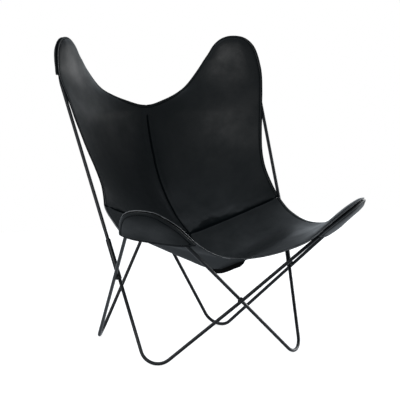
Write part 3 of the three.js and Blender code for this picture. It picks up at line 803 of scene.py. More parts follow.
@dataclass
class SteelFrame:
    """Two base rods and two back hoops, joined by four sleeves and four weld beads."""

    layout: FrameLayout
    crossing_radius: float = 260 * MM
    rear_exit_radius: float = 90 * MM
    hoop_exit_radius: float = 60 * MM
    shoulder_radius: float = 118 * MM
    sleeve_wall: float = 1.7 * MM
    sleeve_sides: int = 40
    mouth_bevel: float = 0.6 * MM
    mouth_segments: int = 2
    bead_length: float = 18 * MM
    bead_width: float = 13 * MM
    bead_rings: tuple[int, int] = (36, 20)
    bead_ripples: int = 9
    bead_ripple_share: float = 0.05
    bead_lump_share: float = 0.12
    bead_lumps: float = 1.7

    def build(self, coat: bpy.types.Material) -> list[bpy.types.Object]:
        """Builds every steel piece.

        Args:
            coat: The powder coat.

        Returns:
            The finished pieces.
        """
        plan = self.layout
        base_radii = [
            plan.foot_radius,
            self.crossing_radius,
            plan.wing_radius,
            plan.foot_radius,
            self.rear_exit_radius,
        ]
        hoop_radii = [
            self.hoop_exit_radius,
            self.shoulder_radius,
            plan.hoop_radius,
            plan.hoop_radius,
            self.shoulder_radius,
        ]
        halves = {side: plan.half(side) for side in Side}
        climb = toward(plan.back_foot, plan.wing)
        pieces = []
        for side, half in halves.items():
            # a base rod crosses to the other side, where its sleeves and its hoop stand
            other = Side(-side.value)
            crossed = mirrored(plan.crossed, side.value)
            across = half.side_way.cross(mirrored(climb, other.value)).normalized()
            pieces += [
                self.rod(f"base_rod_{side.word}", half.base, base_radii, coat),
                self.rod(f"back_hoop_{other.word}", half.hoop, hoop_radii, coat),
                self.sleeve(f"side_sleeve_{other.word}", half.side_mouth, half.side_way, coat),
                self.sleeve(f"rear_sleeve_{other.word}", half.rear_mouth, half.rear_way, coat),
                self.bead(f"side_weld_{other.word}", across, crossed.z, coat),
            ]
        left, right = halves[Side.LEFT], halves[Side.RIGHT]
        for node, a, b in (
            ("front_weld", left.front_cross, right.front_cross),
            ("rear_weld", left.rear_cross, right.rear_cross),
        ):
            pieces.append(self.bead(node, toward(a, b), a.z, coat))
        return pieces

    def rod(
        self, node: str, corners: list[Vector], radii: list[float], coat: bpy.types.Material
    ) -> bpy.types.Object:
        """Builds one rod in place of its node."""
        rod = BentRod(corners, radii, self.layout.rod_radius)
        return settle(new_object(f"{node}_steel", rod.mesh(), [coat]), Slot.RODS, node)

    def sleeve(self, node: str, mouth: Vector, way: Vector, coat: bpy.types.Material) -> bpy.types.Object:
        """Builds one sleeve: a drawn tube with broken mouth edges.

        Args:
            node: The node it stands for.
            mouth: The middle of the tube's lower mouth.
            way: The way to its other mouth.
            coat: The powder coat.

        Returns:
            The finished piece.
        """
        place = Matrix.Translation(mouth) @ way.to_track_quat("Z", "Y").to_matrix().to_4x4()
        bm = bmesh.new()
        radius = self.layout.sleeve_radius
        bmesh.ops.create_circle(bm, segments=self.sleeve_sides, radius=radius, matrix=place)
        BentRod.run(bm, list(bm.edges), way * self.layout.sleeve_length)
        bmesh.ops.recalc_face_normals(bm, faces=bm.faces)
        bm.faces.ensure_lookup_table()
        first = bm.faces[0]
        if first.normal.dot(first.calc_center_median() - mouth - way * self.layout.sleeve_length / 2) < 0:
            bmesh.ops.reverse_faces(bm, faces=bm.faces)
        piece = new_object(f"{node}_steel", bm, [coat])
        wall = piece.modifiers.new("wall", "SOLIDIFY")
        wall.thickness = self.sleeve_wall
        wall.offset = -1.0
        mouths = piece.modifiers.new("mouths", "BEVEL")
        mouths.width = self.mouth_bevel
        mouths.segments = self.mouth_segments
        mouths.limit_method = "ANGLE"
        return settle(piece, Slot.SLEEVES, node)

    def bead(self, node: str, way: Vector, seed: float, coat: bpy.types.Material) -> bpy.types.Object:
        """Builds one weld bead: a rippled lump, short the way from one member to the other.

        Args:
            node: The node it stands for.
            way: The way from one member to the other.
            seed: A height in metres, which sets the bead's own lumps.
            coat: The powder coat.

        Returns:
            The finished piece.
        """
        low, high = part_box(node)
        bm = bmesh.new()
        round_about, up = self.bead_rings
        bmesh.ops.create_uvsphere(bm, u_segments=round_about, v_segments=up, radius=1.0)
        for vert in bm.verts:
            angle = math.atan2(vert.co.y, vert.co.x)
            ripple = self.bead_ripple_share * math.cos(self.bead_ripples * angle)
            lump = noise.noise(vert.co * self.bead_lumps + Vector((seed / MM, 0, 0)))
            vert.co *= 1 + ripple + self.bead_lump_share * lump
        half = Vector((self.bead_length, self.bead_length, self.bead_width)) / 2
        bmesh.ops.scale(bm, verts=bm.verts, vec=half)
        turn = way.to_track_quat("Z", "Y").to_matrix().to_4x4()
        bmesh.ops.transform(bm, verts=bm.verts, matrix=Matrix.Translation((low + high) / 2) @ turn)
        return settle(new_object(f"{node}_bead", bm, [coat]), Slot.WELDS, node)


# Sling shape
class SmoothCurve:
    """A curve through points whose knots follow the root of their spacing, so that it never loops."""

    def __init__(self, points: list[Vector]) -> None:
        """Keeps the points, with one more beyond each end.

        Args:
            points: Two or more places.
        """
        first = points[0] * 2 - points[1]
        last = points[-1] * 2 - points[-2]
        self.points = [first, *points, last]
        self.spans = len(points) - 1

    def at(self, share: float) -> Vector:
        """The place at a share of the curve's points.

        Args:
            share: 0 at the first point and 1 at the last.

        Returns:
            The place.
        """
        place = clamp(share) * self.spans
        i = min(int(place), self.spans - 1)
        w = place - i
        a, b, c, d = self.points[i : i + 4]
        before, between, after = (math.sqrt((q - p).length) for p, q in ((a, b), (b, c), (c, d)))
        out = (b - a) / before - (c - a) / (before + between) + (c - b) / between
        arrive = (c - b) / between - (d - b) / (between + after) + (d - c) / after
        out, arrive = out * between, arrive * between
        cubic = 2 * b - 2 * c + out + arrive
        square = 3 * c - 3 * b - 2 * out - arrive
        return ((cubic * w + square) * w + out) * w + b


@dataclass(frozen=True)
class HookFrame:
    """The bend that a pocket hooks over, seen square on; the rod peaks at the apex and turns down."""

    apex: Vector
    down: Vector
    outward: Vector
    flat: float
    radius: float
    turn: float

    @property
    def inner(self) -> Vector:
        """The way that the sling's inner face looks."""
        face = self.outward.cross(self.down).normalized()
        return -face if face.z < 0 else face

    def edge(self, reach: float, side: int, margin: float, lift: float) -> Vector:
        """A place on the sling's edge.

        Args:
            reach: How far along the rod from the apex.
            side: 1 towards the side edge, -1 towards the top or front edge.
            margin: How far outside the rod.
            lift: How far off the rod's plane.

        Returns:
            The place, in metres.
        """
        arc = self.radius * self.turn
        angle = clamp(reach - self.flat, 0, arc) / self.radius
        straight = max(reach - self.flat - arc, 0)
        across = min(reach, self.flat) + self.radius * math.sin(angle) + straight * math.cos(angle)
        depth = self.radius * (1 - math.cos(angle)) + straight * math.sin(angle)
        return (
            self.apex
            + self.outward * side * (across + margin * math.sin(angle))
            + self.down * (depth - margin * math.cos(angle))
            + self.inner * lift
        )


def hoop_hook(plan: FrameLayout) -> HookFrame:
    """The left back hoop's top.

    Args:
        plan: The frame's layout.

    Returns:
        The bend.
    """
    turn = plan.outward.angle(toward(plan.front_top, plan.front_shoulder))
    return HookFrame(
        apex=plan.top,
        down=toward(plan.top, plan.shoulder),
        outward=plan.outward,
        flat=plan.hoop_top_width / 2 - plan.hoop_radius * math.tan(turn / 2),
        radius=plan.hoop_radius,
        turn=turn,
    )


def wing_hook(plan: FrameLayout) -> HookFrame:
    """The left wing corner of the base rod.

    Args:
        plan: The frame's layout.

    Returns:
        The bend.
    """
    corner = mirrored(plan.wing)
    front = toward(corner, mirrored(plan.front_cross))
    back = toward(corner, mirrored(plan.back_foot))
    down = (front + back).normalized()
    half = front.angle(back) / 2
    return HookFrame(
        apex=corner + down * (plan.wing_radius / math.sin(half) - plan.wing_radius),
        down=down,
        outward=(back - front).normalized(),
        flat=0.0,
        radius=plan.wing_radius,
        turn=math.pi / 2 - half,
    )


def placed(plan: FrameLayout, shares: Point, goal: Vector) -> Vector:
    """A place by shares of the way from the middle of the cross seam to a goal."""
    way = goal - plan.seam_middle
    return plan.seam_middle + Vector((shares[0] * way.x, shares[1] * way.y, shares[2] * way.z))


def beside_leg(plan: FrameLayout, shares: Point) -> Vector:
    """A place on the back's side edge, whose span follows the hoop's front leg.

    Args:
        plan: The frame's layout.
        shares: Shares of the leg's span, and of the ways back and up.

    Returns:
        The place.
    """
    place = placed(plan, shares, plan.top)
    climbed = (place.z - plan.sleeve_top.z) / (plan.front_shoulder.z - plan.sleeve_top.z)
    place.x = shares[0] * plan.sleeve_top.lerp(plan.front_shoulder, climbed).x
    return place


@dataclass
class PanelForm:
    """One quarter of the sling, in rows from its inner edge to its side edge.

    The inner edge is the centre seam and then the top or front edge. A pocket's rows are shares of
    its reach along the rod, of the margins outside the rod on the side edge and on the inner edge,
    and of how far these two edges stand off the rod's plane.
    """

    seam: list[Vector]
    edge: list[Vector]
    outer_edge: list[Vector]
    hook: HookFrame
    pocket_shares: list[tuple[float, float, float, float, float]]
    reaches: tuple[float, float]
    margin: float
    hollow: float
    crown: float
    belly: float
    closed_seam: float
    opening_seam: float
    hollow_shares: list[float]
    crown_shares: list[float]
    bowl_shares: list[float]
    round_shares: list[float]
    seam_source: "PanelForm | None" = None
    fold: float | None = None  # from here the leather is drawn straight to the side edge, over the rod
    inked_and_shaded: bool = False  # whether the cut edge is inked black with painted shade, instead of burnished pale with a painted highlight
    fold_ease: float = 0.1
    rise_power: int = 4
    edge_lift: float = 2 * MM
    pocket_inset: float = 1.2 * MM
    pocket_inset_most: float = 0.2
    leather: float = LEATHER
    fit_gap: float = FIT_GAP
    seam_rows: float = 2.0

    def __post_init__(self) -> None:
        """Works out the pocket's rows and draws the three edge curves."""
        self.corner = len(self.seam) - 1
        self.hem = len(self.seam) + len(self.edge)
        inner = [*self.seam, *self.edge]
        side = list(self.outer_edge)
        for reach, *shares in self.pocket_shares:
            side_margin, inner_margin = (share * self.margin for share in shares[:2])
            side_lift, inner_lift = (share * self.edge_lift for share in shares[2:])
            side.append(self.hook.edge(reach * self.reaches[0], 1, side_margin, side_lift))
            inner.append(self.hook.edge(reach * self.reaches[1], -1, inner_margin, inner_lift))
        self.rows = len(inner) - 1
        self.seam_curve = SmoothCurve(inner[: self.corner + 1])
        self.edge_curve = SmoothCurve(inner[self.corner :])
        self.side_curve = SmoothCurve(side)
        self.tip_depth = self.hook.radius + self.margin
        self.tip = inner[-1].lerp(side[-1], 0.5)

    @staticmethod
    def value(table: list[float], row: float) -> float:
        """A table's value at a row; the last entry holds for the rows that follow.

        Args:
            table: One value for each row.
            row: The row.

        Returns:
            The value.
        """
        place = min(row, len(table) - 1)
        i = min(int(place), len(table) - 2)
        return table[i] + (table[i + 1] - table[i]) * (place - i)

    def inner(self, row: float) -> Vector:
        """The inner edge at a row.

        Args:
            row: The row.

        Returns:
            The place.
        """
        if row <= self.corner:
            return self.seam_curve.at(row / self.corner)
        return self.edge_curve.at((row - self.corner) / (self.rows - self.corner))

    def outer(self, row: float) -> Vector:
        """The side edge at a row."""
        return self.side_curve.at(row / self.rows)

    def middle(self, row: float) -> Vector:
        """Half way between the two edges at a row."""
        return self.inner(row).lerp(self.outer(row), 0.5)

    def facing(self, row: float) -> Vector:
        """Which way the leather's inner face looks at a row.

        Args:
            row: The row.

        Returns:
            The unit way.
        """
        low, high = max(row - 1, 0), min(row + 1, self.rows)
        across = self.outer(row) - self.inner(row)
        normal = across.cross(self.middle(high) - self.middle(low)).normalized()
        return -normal if normal.dot(self.hook.inner) < 0 else normal

    def rise(self, row: float) -> float:
        """From 0 at the pocket's tip to 1 where the rod's bend ends."""
        depth = clamp((self.middle(row) - self.tip).dot(self.hook.down), 0, self.tip_depth)
        return 1 - (1 - depth / self.tip_depth) ** self.rise_power

    def arch(self, share: float) -> float:
        """The crown's form across a row, which ends level with both edges.

        Args:
            share: 0 at the inner edge and 1 at the side edge.

        Returns:
            The height as a share of the crown.
        """
        round_arch = 1 - (2 * share - 1) ** 4
        if self.fold is None:
            return round_arch
        straight = (1 - share) / (1 - self.fold)
        blend = clamp(0.5 + (straight - round_arch) / (2 * self.fold_ease))
        return straight + (round_arch - straight) * blend - self.fold_ease * blend * (1 - blend)

    def line(self, row: float, shares: list[float]) -> list[Vector]:
        """Middle of the leather's thickness along a row.

        Args:
            row: The row.
            shares: Places from the inner edge (0) to the side edge (1).

        Returns:
            One place for each share, in metres.
        """
        a, b = self.inner(row), self.outer(row)
        face = self.facing(row)
        bend = self.value(self.round_shares, row)
        whole = math.sqrt(1 + bend * bend) - bend
        drop = (b.z - a.z) * self.value(self.bowl_shares, row)
        hollow = self.hollow * self.value(self.hollow_shares, row)
        crown = self.crown * self.value(self.crown_shares, row) * self.rise(row)
        places = []
        for t in shares:
            place = a.lerp(b, t)
            place.z += drop * ((math.sqrt(t * t + bend * bend) - bend) / whole - t)
            dip = hollow * 4 * t * (1 - t) * (1.5 - t)  # deepest near the centre seam
            places.append(place + face * (crown * self.arch(t) - dip))
        if self.seam_source and row < self.seam_rows:
            seam = self.seam_source.line(0, shares)
            pull = (1 - row / self.seam_rows) ** 2
            places = [p.lerp(s, pull) for p, s in zip(places, seam)]
        return places

    def pocket_line(self, row: float, shares: list[float]) -> list[Vector]:
        """Middle of the pocket's back leather along a row, which is sewn along the same edges.

        Args:
            row: The row.
            shares: Places from the inner edge (0) to the side edge (1).

        Returns:
            One place for each share.
        """
        a, b = self.inner(row), self.outer(row)
        inset = min(self.pocket_inset / (b - a).length, self.pocket_inset_most)
        belly = self.belly * self.rise(row)
        places = []
        for t in shares:
            place = inset + t * (1 - 2 * inset)
            back = self.leather + self.fit_gap + belly * (1 - (2 * place - 1) ** 4)
            places.append(a.lerp(b, place) - self.hook.inner * back)
        return places


def back_form(plan: FrameLayout) -> PanelForm:
    """The back panel's form on the left side.

    Args:
        plan: The frame's layout.

    Returns:
        The form.
    """
    seam = [
        (0, 0, 0),
        (0, 0.172, 0.034),
        (0, 0.371, 0.087),
        (0, 0.566, 0.158),
        (0, 0.734, 0.234),
        (0, 0.865, 0.325),
        (0, 0.97, 0.419),
        (0, 1.052, 0.515),
        (0, 1.101, 0.597),
        (0, 1.12, 0.641),
    ]
    top = [(0.077, 1.127, 0.645), (0.211, 1.14, 0.666), (0.352, 1.163, 0.693), (0.5, 1.195, 0.737)]
    side = [
        (0.967, -0.094, 0.18),
        (0.944, -0.034, 0.216),
        (0.919, 0.056, 0.272),
        (0.911, 0.154, 0.325),
        (0.916, 0.24, 0.379),
        (0.929, 0.311, 0.43),
        (0.943, 0.363, 0.477),
        (0.957, 0.412, 0.528),
        (0.973, 0.459, 0.579),
        (0.985, 0.498, 0.624),
        (0.994, 0.536, 0.668),
        (1.005, 0.571, 0.708),
        (1.014, 0.605, 0.742),
        (1.025, 0.644, 0.776),
    ]
    return PanelForm(
        seam=[placed(plan, s, plan.top) for s in seam],
        edge=[placed(plan, s, plan.top) for s in top],
        outer_edge=[beside_leg(plan, s) for s in side],
        hook=hoop_hook(plan),
        pocket_shares=[
            (1, 1.02, 1.7, 2, 5),
            (0.82, 0.88, 1.3, 1.25, 3),
            (0.64, 0.68, 0.85, 1, 1.25),
            (0.47, 0.53, 0.62, 1, 1),
            (0.31, 0.5, 0.55, 1, 1),
            (0.16, 0.5, 0.5, 1, 1),
            (0.035, 0.5, 0.5, 1, 1),
        ],
        reaches=(140 * MM, 140 * MM),
        margin=20 * MM,
        hollow=36 * MM,
        crown=14 * MM,
        belly=17 * MM,
        closed_seam=21 * MM,
        opening_seam=25 * MM,
        hollow_shares=[0.12, 0.3, 0.5, 0.65, 0.8, 0.9, 0.95, 1, 1, 0.95, 0.85, 0.65, 0.4, 0.2, 0.05, 0],
        crown_shares=[0, 0, 0, 0, 0, 0, 0, 0, 0, 0, 0, 0.1, 0.3, 0.6, 0.9, 1],
        bowl_shares=[0, 0],
        round_shares=[1, 1],
        fold=0.66,
        inked_and_shaded=True,
    )


def seat_form(plan: FrameLayout, back: PanelForm) -> PanelForm:
    """The seat panel's form on the left side; its first row is the back's.

    Args:
        plan: The frame's layout.
        back: The back panel's form.

    Returns:
        The form.
    """
    goal = mirrored(plan.wing)
    keel = [
        (0, 0, 0),
        (0, 0.11, -0.18),
        (0, 0.23, -0.33),
        (0, 0.345, -0.405),
        (0, 0.44, -0.39),
        (0, 0.54, -0.32),
        (0, 0.66, -0.22),
        (0, 0.796, -0.115),
    ]
    front = [(0.14, 0.81, -0.088), (0.283, 0.866, 0), (0.426, 0.926, 0.137), (0.548, 0.947, 0.313)]
    side = [
        (0.759, 0.113, 0.456),
        (0.76, 0.183, 0.379),
        (0.767, 0.248, 0.324),
        (0.775, 0.299, 0.288),
        (0.784, 0.345, 0.264),
        (0.796, 0.384, 0.247),
        (0.808, 0.419, 0.24),
        (0.824, 0.456, 0.24),
        (0.844, 0.495, 0.247),
        (0.867, 0.537, 0.266),
        (0.899, 0.586, 0.302),
    ]
    return PanelForm(
        seam=[placed(plan, s, goal) for s in keel],
        edge=[placed(plan, s, goal) for s in front],
        outer_edge=[back.outer(0), *(placed(plan, s, goal) for s in side)],
        hook=wing_hook(plan),
        pocket_shares=[
            (1, 0.78, 1.26, 1, 1),
            (0.83, 0.94, 1.21, 1, 1),
            (0.66, 1.02, 1.16, 1, 1),
            (0.5, 1.02, 1.04, 1, 1),
            (0.33, 0.92, 0.68, 1, 1),
            (0.165, 0.7, 0.54, 1, 1),
            (0.03, 0.54, 0.52, 1, 1),
        ],
        reaches=(140 * MM, 174 * MM),
        margin=25 * MM,
        hollow=0.0,
        crown=12.5 * MM,
        belly=13 * MM,
        closed_seam=7 * MM,
        opening_seam=16 * MM,
        hollow_shares=[0, 0],
        crown_shares=[0, 0, 0, 0, 0, 0, 0, 0.05, 0.2, 0.4, 0.7, 0.95, 1],
        bowl_shares=[1, 1, 1, 1, 1, 1, 1, 0.9, 0.7, 0.5, 0.25, 0],
        round_shares=[0.15, 0.17, 0.2, 0.23, 0.25],
        seam_source=back,
    )


# Leather sheets
def measure_tree(places: list[Vector]) -> kdtree.KDTree:
    """A search tree over places.

    Args:
        places: The places.

    Returns:
        The tree, which gives the nearest place and how far it is.
    """
    tree = kdtree.KDTree(len(places))
    for i, place in enumerate(places):
        tree.insert(place, i)
    tree.balance()
    return tree


def walk(line: list[Vector], step: float) -> list[tuple[Vector, Vector]]:
    """Points about a step apart along a broken line, with the line's direction at each.

    Args:
        line: The line's corners.
        step: How far apart the points are.

    Returns:
        A place and a unit way for each.
    """
    points = []
    for a, b in zip(line, line[1:]):
        length = (b - a).length
        if length < MERGED / 100:
            continue
        count = max(1, round(length / step))
        points += [(a.lerp(b, k / count), (b - a) / length) for k in range(count)]
    return points


@dataclass
class LeatherCut:
    """A sheet's middle surface, with the lines that its finish follows."""

    bm: bmesh.types.BMesh
    free: list[Vector]
    seams: list[Vector]
    border: list[Vector]
    gathered: list[Vector]
    outward: bool = False  # whether the grain looks away from the sitter


@dataclass
class LeatherSheet:
    """Turns a panel's form into sheets with rounded edges and turned-down seam allowances."""

    form: PanelForm
    side: Side
    columns: int = 46
    first_row: float = 0.4
    row_step: float = 0.2
    seam_end_rows: tuple[float, float] = (1.2, 0.1)
    pocket_stop: float = 0.1
    hem_shares: tuple[float, ...] = (0.12, 0.3, 0.62)
    crowding: float = 1.3
    leather: float = LEATHER
    seam_gap: float = 0.5 * MM
    closed_gap: float = 0.12 * MM
    roll_radius: float = 2 * MM
    roll_steps: int = 4
    drop_steps: int = 2
    allowance: float = 15 * MM
    allowance_end: float = 4 * MM
    allowance_slope: float = 3.2
    look: float = 0.05  # how far along the rows a seam's direction is read
    grooved: float = 0.25  # a seam shows a groove where its roll is larger than this share
    # a seam is drawn tight over its last stretch, where no groove shows
    closed_end: float = 12 * MM
    opening_end: float = 24 * MM
    # how deep inside the border, and how often, the surface is evened out
    evening: tuple[tuple[float, int], ...] = ((19 * MM, 10), (28 * MM, 14), (42 * MM, 24), (60 * MM, 24))
    wave: float = 1.3 * MM
    wave_length: float = 120 * MM
    wave_margin: float = 30 * MM
    pucker: float = 1.1 * MM
    pucker_length: float = 34 * MM
    pucker_reach: float = 24 * MM
    pucker_margin: float = 14 * MM
    lip: float = 0.9 * MM
    lip_place: float = 9 * MM
    lip_reach: float = 5 * MM
    lip_margin: float = 9 * MM
    # the back is gathered into a soft fold over the cross seam, most of it beside the middle
    gather: float = 6 * MM
    gather_place: float = 19 * MM
    gather_share: float = 0.2
    gather_spread: float = 0.26
    gather_least: float = 0.34
    gather_ends: tuple[float, float] = (0.06, 0.2)  # where it fades in at the middle and out at the side
    crinkle: float = 0.8
    crinkle_length: float = 15 * MM
    # the finish paints shade in full where seam_mm is up to 2.8 and none from 4, and a pale burnish with a
    # painted highlight where edge_mm is below 1.8
    ink_shade_mm: float = 2.6
    ink_shade_reach: float = 3.2 * MM
    fold_mm: float = 3.0
    fold_band: float = 38 * MM
    fold_fade: float = 1.5
    hang_from: float = 2.7 * MM
    plain_mm: float = 2.0
    far_mm: float = 60.0
    stitch_inset: float = STITCH_INSET
    stitch_dip: float = 0.9 * MM
    stitch_reach: float = 2.3 * MM
    thinnest: float = 0.3
    crossing_reach: float = 1.55
    border_step: float = 2 * MM
    seam_step: float = 1 * MM
    edge_step: float = 0.5 * MM
    # columns lie close together beside an edge: mm in from a free edge, and from a seam
    free_steps: tuple[float, ...] = (0, 0.8, 1.8, 3.4, 5.2, 6.7, 8.0, 9.3, 11.2, 14.5)
    seam_steps: tuple[float, ...] = (0, 4.8, 5.8, 7.2, 9.0, 11.2, 13.8, 16.8, 20.2, 24.0)

    def seam_share(self, row: float) -> float:
        """How far the inner edge is rolled down into a seam.

        Args:
            row: The row.

        Returns:
            1 along the seam, easing to 0 where it meets the sling's outer edge.
        """
        if row >= self.form.corner:
            return 0.0
        left = (self.form.inner(self.form.corner) - self.form.inner(row)).length
        return smooth((left - self.form.closed_seam) / self.form.opening_seam)

    def stations(self) -> list[float]:
        """The rows that are drawn, from the cross seam to the pocket's tip.

        Returns:
            The rows, in order.
        """
        span = self.form.rows - self.first_row
        count = round(span / self.row_step)
        rows = [self.first_row + span * i / count for i in range(count + 1)]
        low, high = (self.form.corner - share for share in self.seam_end_rows)
        last = [row + self.row_step / 2 for row in rows if low < row < high]
        return sorted([0.0, *rows, *last])

    def column_shares(self, width: float, seam: float) -> list[float]:
        """Places across a row, close together near its ends.

        Args:
            width: The row's length in metres.
            seam: How far the inner end is a seam.

        Returns:
            Shares from 0 at the inner edge to 1 at the side edge.
        """
        inner = [(f + (s - f) * seam) * MM for f, s in zip(self.free_steps, self.seam_steps)]
        outer = [f * MM for f in self.free_steps]
        scale = min(1.0, width / (self.crowding * (inner[-1] + outer[-1])))
        inner = [step * scale / width for step in inner]
        outer = [1 - step * scale / width for step in reversed(outer)]
        middle = self.columns - len(inner) - len(outer)
        span = outer[0] - inner[-1]
        return inner + [inner[-1] + span * (i + 1) / (middle + 1) for i in range(middle)] + outer

    def set_back(self, seam: float) -> float:
        """How far the flat leather stops short of the seam line."""
        half_gap = (self.closed_gap + (self.seam_gap - self.closed_gap) * seam) / 2
        return half_gap + (self.leather / 2 + self.roll_radius) * seam

    def rolled(
        self, base: Vector, away: Vector, down: Vector, level: int, depth: float, size: float
    ) -> Vector:
        """A place on the allowance: first round the roll and then straight down.

        Args:
            base: Where the flat leather ends.
            away: The way from the seam into the panel.
            down: The way that the allowance hangs.
            level: How many steps along the allowance.
            depth: The allowance's depth.
            size: The roll's size, from 0 where the seam is drawn tight to 1.

        Returns:
            The place.
        """
        radius = self.roll_radius * size
        angle = math.pi / 2 * min(level / self.roll_steps, 1)
        fall = max(level - self.roll_steps, 0) / self.drop_steps * max(depth - radius, 0) * size
        return base - away * radius * math.sin(angle) + down * (radius * (1 - math.cos(angle)) + fall)

    def depth(self, share: float) -> float:
        """The allowance's depth along its seam: whole at the crossing (0) and least at its far end (1)."""
        swell = min(1.0, self.allowance_slope * math.sin(math.pi * clamp(share, 0.5)))
        return self.allowance_end + (self.allowance - self.allowance_end) * swell

    def panel_cut(self) -> LeatherCut:
        """Builds the panel's middle surface with its two allowances.

        Returns:
            The cut.
        """
        rows = self.stations()
        seams = [self.seam_share(row) for row in rows]
        lines = []
        for row, seam in zip(rows, seams):
            width = (self.form.outer(row) - self.form.inner(row)).length
            lines.append(self.form.line(row, self.column_shares(width, seam)))
            if row <= self.form.corner:
                lines[-1][0].x = -self.set_back(seam)
        levels = self.roll_steps + self.drop_steps
        cross = [p.copy() for p in lines[0]]
        end = cross[-1]
        sizes = [smooth(((p - end).length - self.closed_end) / self.opening_end) for p in lines[0]]
        away_cross = [(b - a).normalized() for a, b in zip(lines[0], lines[1])]
        lines[0] = [p + way * self.set_back(size) for p, way, size in zip(lines[0], away_cross, sizes)]
        lines[0][0].x = -self.set_back(1.0)
        down_centre = []
        for row in rows:
            run = toward(self.form.inner(max(row - self.look, 0)), self.form.inner(row + self.look))
            down = Vector((0, run.z, -run.y))
            down_centre.append(-down if down.dot(self.form.hook.inner) > 0 else down)
        down_cross = []
        for j in range(self.columns):
            run = toward(lines[0][max(j - 1, 0)], lines[0][min(j + 1, self.columns - 1)])
            down = run.cross(away_cross[j]).normalized()
            down_cross.append(-down if down.z > 0 else down)
        whole = (end - lines[0][0]).length
        centre = Vector((-1, 0, 0))

        def place(i: int, j: int) -> Vector:
            """Where a grid vertex goes; the first rows and columns are allowance.

            Args:
                i: Its row.
                j: Its column.

            Returns:
                The place.
            """
            if i >= levels and j >= levels:
                return lines[i - levels][j - levels]
            if i < levels and j < levels:
                level = levels - min(i, j)
                down = (down_centre[0] + down_cross[0]).normalized()
                corner = (centre + away_cross[0]) * self.crossing_reach
                return self.rolled(lines[0][0], corner, down, level, self.depth(0), 1.0)
            if i < levels:
                k = j - levels
                depth = self.depth((lines[0][k] - lines[0][0]).length / whole)
                return self.rolled(lines[0][k], away_cross[k], down_cross[k], levels - i, depth, sizes[k])
            k = i - levels
            depth = self.depth(rows[k] / self.form.corner)
            return self.rolled(lines[k][0], centre, down_centre[k], levels - j, depth, seams[k])

        bm = self.grid_mesh(self.columns + levels, len(rows) + levels, place, levels)
        corner = next(i for i, row in enumerate(rows) if row >= self.form.corner)
        inner, outer = [line[0] for line in lines], [line[-1] for line in reversed(lines)]
        sunk = [line[0] for line, seam in zip(lines, seams) if seam > self.grooved]
        open_seam = [Vector((0, p.y, p.z)) for p in sunk]
        open_cross = [p for p, size in zip(cross, sizes) if size > self.grooved]
        return LeatherCut(
            bm,
            free=inner[corner:] + lines[-1] + outer,
            seams=open_cross[::-1] + open_seam,
            border=inner + lines[-1] + outer + lines[0][::-1],
            gathered=[] if self.form.seam_source else cross,
        )

    def pocket_cut(self) -> LeatherCut:
        """Builds the middle surface of the pocket's back leather.

        Returns:
            The cut.
        """
        first, last = self.form.hem, self.form.rows - self.pocket_stop
        count = round((last - first) / self.row_step)
        lines = []
        for i in range(count + 1):
            row = first + (last - first) * i / count
            width = (self.form.outer(row) - self.form.inner(row)).length
            lines.append(self.form.pocket_line(row, self.column_shares(width, 0.0)))
        hems = [[a.lerp(b, share) for a, b in zip(lines[0], lines[1])] for share in self.hem_shares]
        lines = [lines[0], *hems, *lines[1:]]
        bm = self.grid_mesh(self.columns, len(lines), lambda i, j: lines[i][j])
        inner, outer = [line[0] for line in lines], [line[-1] for line in reversed(lines)]
        ring = inner + lines[-1] + outer + lines[0][::-1]
        # the hem hangs free of the panel behind it, and its edge gets the seams' painted shade, for the
        # shadow in the gap under it
        return LeatherCut(bm, free=ring, seams=lines[0], border=ring, gathered=[], outward=True)

    @staticmethod
    def grid_mesh(
        across: int, along: int, place: Callable[[int, int], Vector], turned_down: int = 0
    ) -> bmesh.types.BMesh:
        """A grid with each vertex moved to its place, and what falls together merged.

        Args:
            across: Vertices across.
            along: Vertices along.
            place: The place of each vertex, by its row and column.
            turned_down: How many of the first rows and columns are allowance, marked in a layer.

        Returns:
            The grid.
        """
        bm = bmesh.new()
        bmesh.ops.create_grid(bm, x_segments=across - 1, y_segments=along - 1, size=0.5)
        turned = bm.verts.layers.float.new("turned")
        for vert in bm.verts:
            i, j = round((vert.co.y + 0.5) * (along - 1)), round((vert.co.x + 0.5) * (across - 1))
            vert.co = place(i, j)
            vert[turned] = 1.0 if min(i, j) < turned_down else 0.0
        bmesh.ops.remove_doubles(bm, verts=bm.verts, dist=MERGED)
        return bm

    def fold_strength(self, spot: Vector, share: float) -> float:
        """How far the back is gathered over the cross seam.

        Args:
            spot: The place, which sets the crinkles.
            share: How far along the seam, from the middle.

        Returns:
            A share from 0 to about 1.5.
        """
        strength = bell(share, self.gather_share, self.gather_spread)
        strength = self.gather_least + (1 - self.gather_least) * strength
        crinkle = 1 + self.crinkle * noise.noise(spot / self.crinkle_length)
        near, far = self.gather_ends
        return strength * crinkle * smooth((1 - share) / far) * smooth(share / near)

    def sided(self, place: Vector) -> Vector:
        """A place or way on the left moved to the sheet's side."""
        return mirrored(place, -self.side.value)

    def even(self, cut: LeatherCut) -> None:
        """Evens the surface out, the more the deeper inside its border.

        Args:
            cut: The sheet's middle surface.
        """
        border = measure_tree([p for p, _ in walk(cut.border, self.border_step)])
        inset = {vert: border.find(vert.co)[2] for vert in cut.bm.verts}
        for margin, passes in self.evening:
            inside = [vert for vert in cut.bm.verts if inset[vert] > margin]
            for _ in range(passes if inside else 0):
                bmesh.ops.smooth_vert(
                    cut.bm, verts=inside, factor=0.5, use_axis_x=True, use_axis_y=True, use_axis_z=True
                )

    def face(self, cut: LeatherCut) -> None:
        """Moves the sheet to its side of the chair and turns its grain the right way.

        Args:
            cut: The sheet's middle surface.
        """
        bm = cut.bm
        if self.side is Side.RIGHT:
            bmesh.ops.scale(bm, verts=bm.verts, vec=Vector((-1, 1, 1)))
        bmesh.ops.recalc_face_normals(bm, faces=bm.faces)
        up = sum((f.normal * f.calc_area() for f in bm.faces), Vector())
        if (up.dot(self.sided(self.form.hook.inner)) < 0) is not cut.outward:
            bmesh.ops.reverse_faces(bm, faces=bm.faces)
        bm.normal_update()

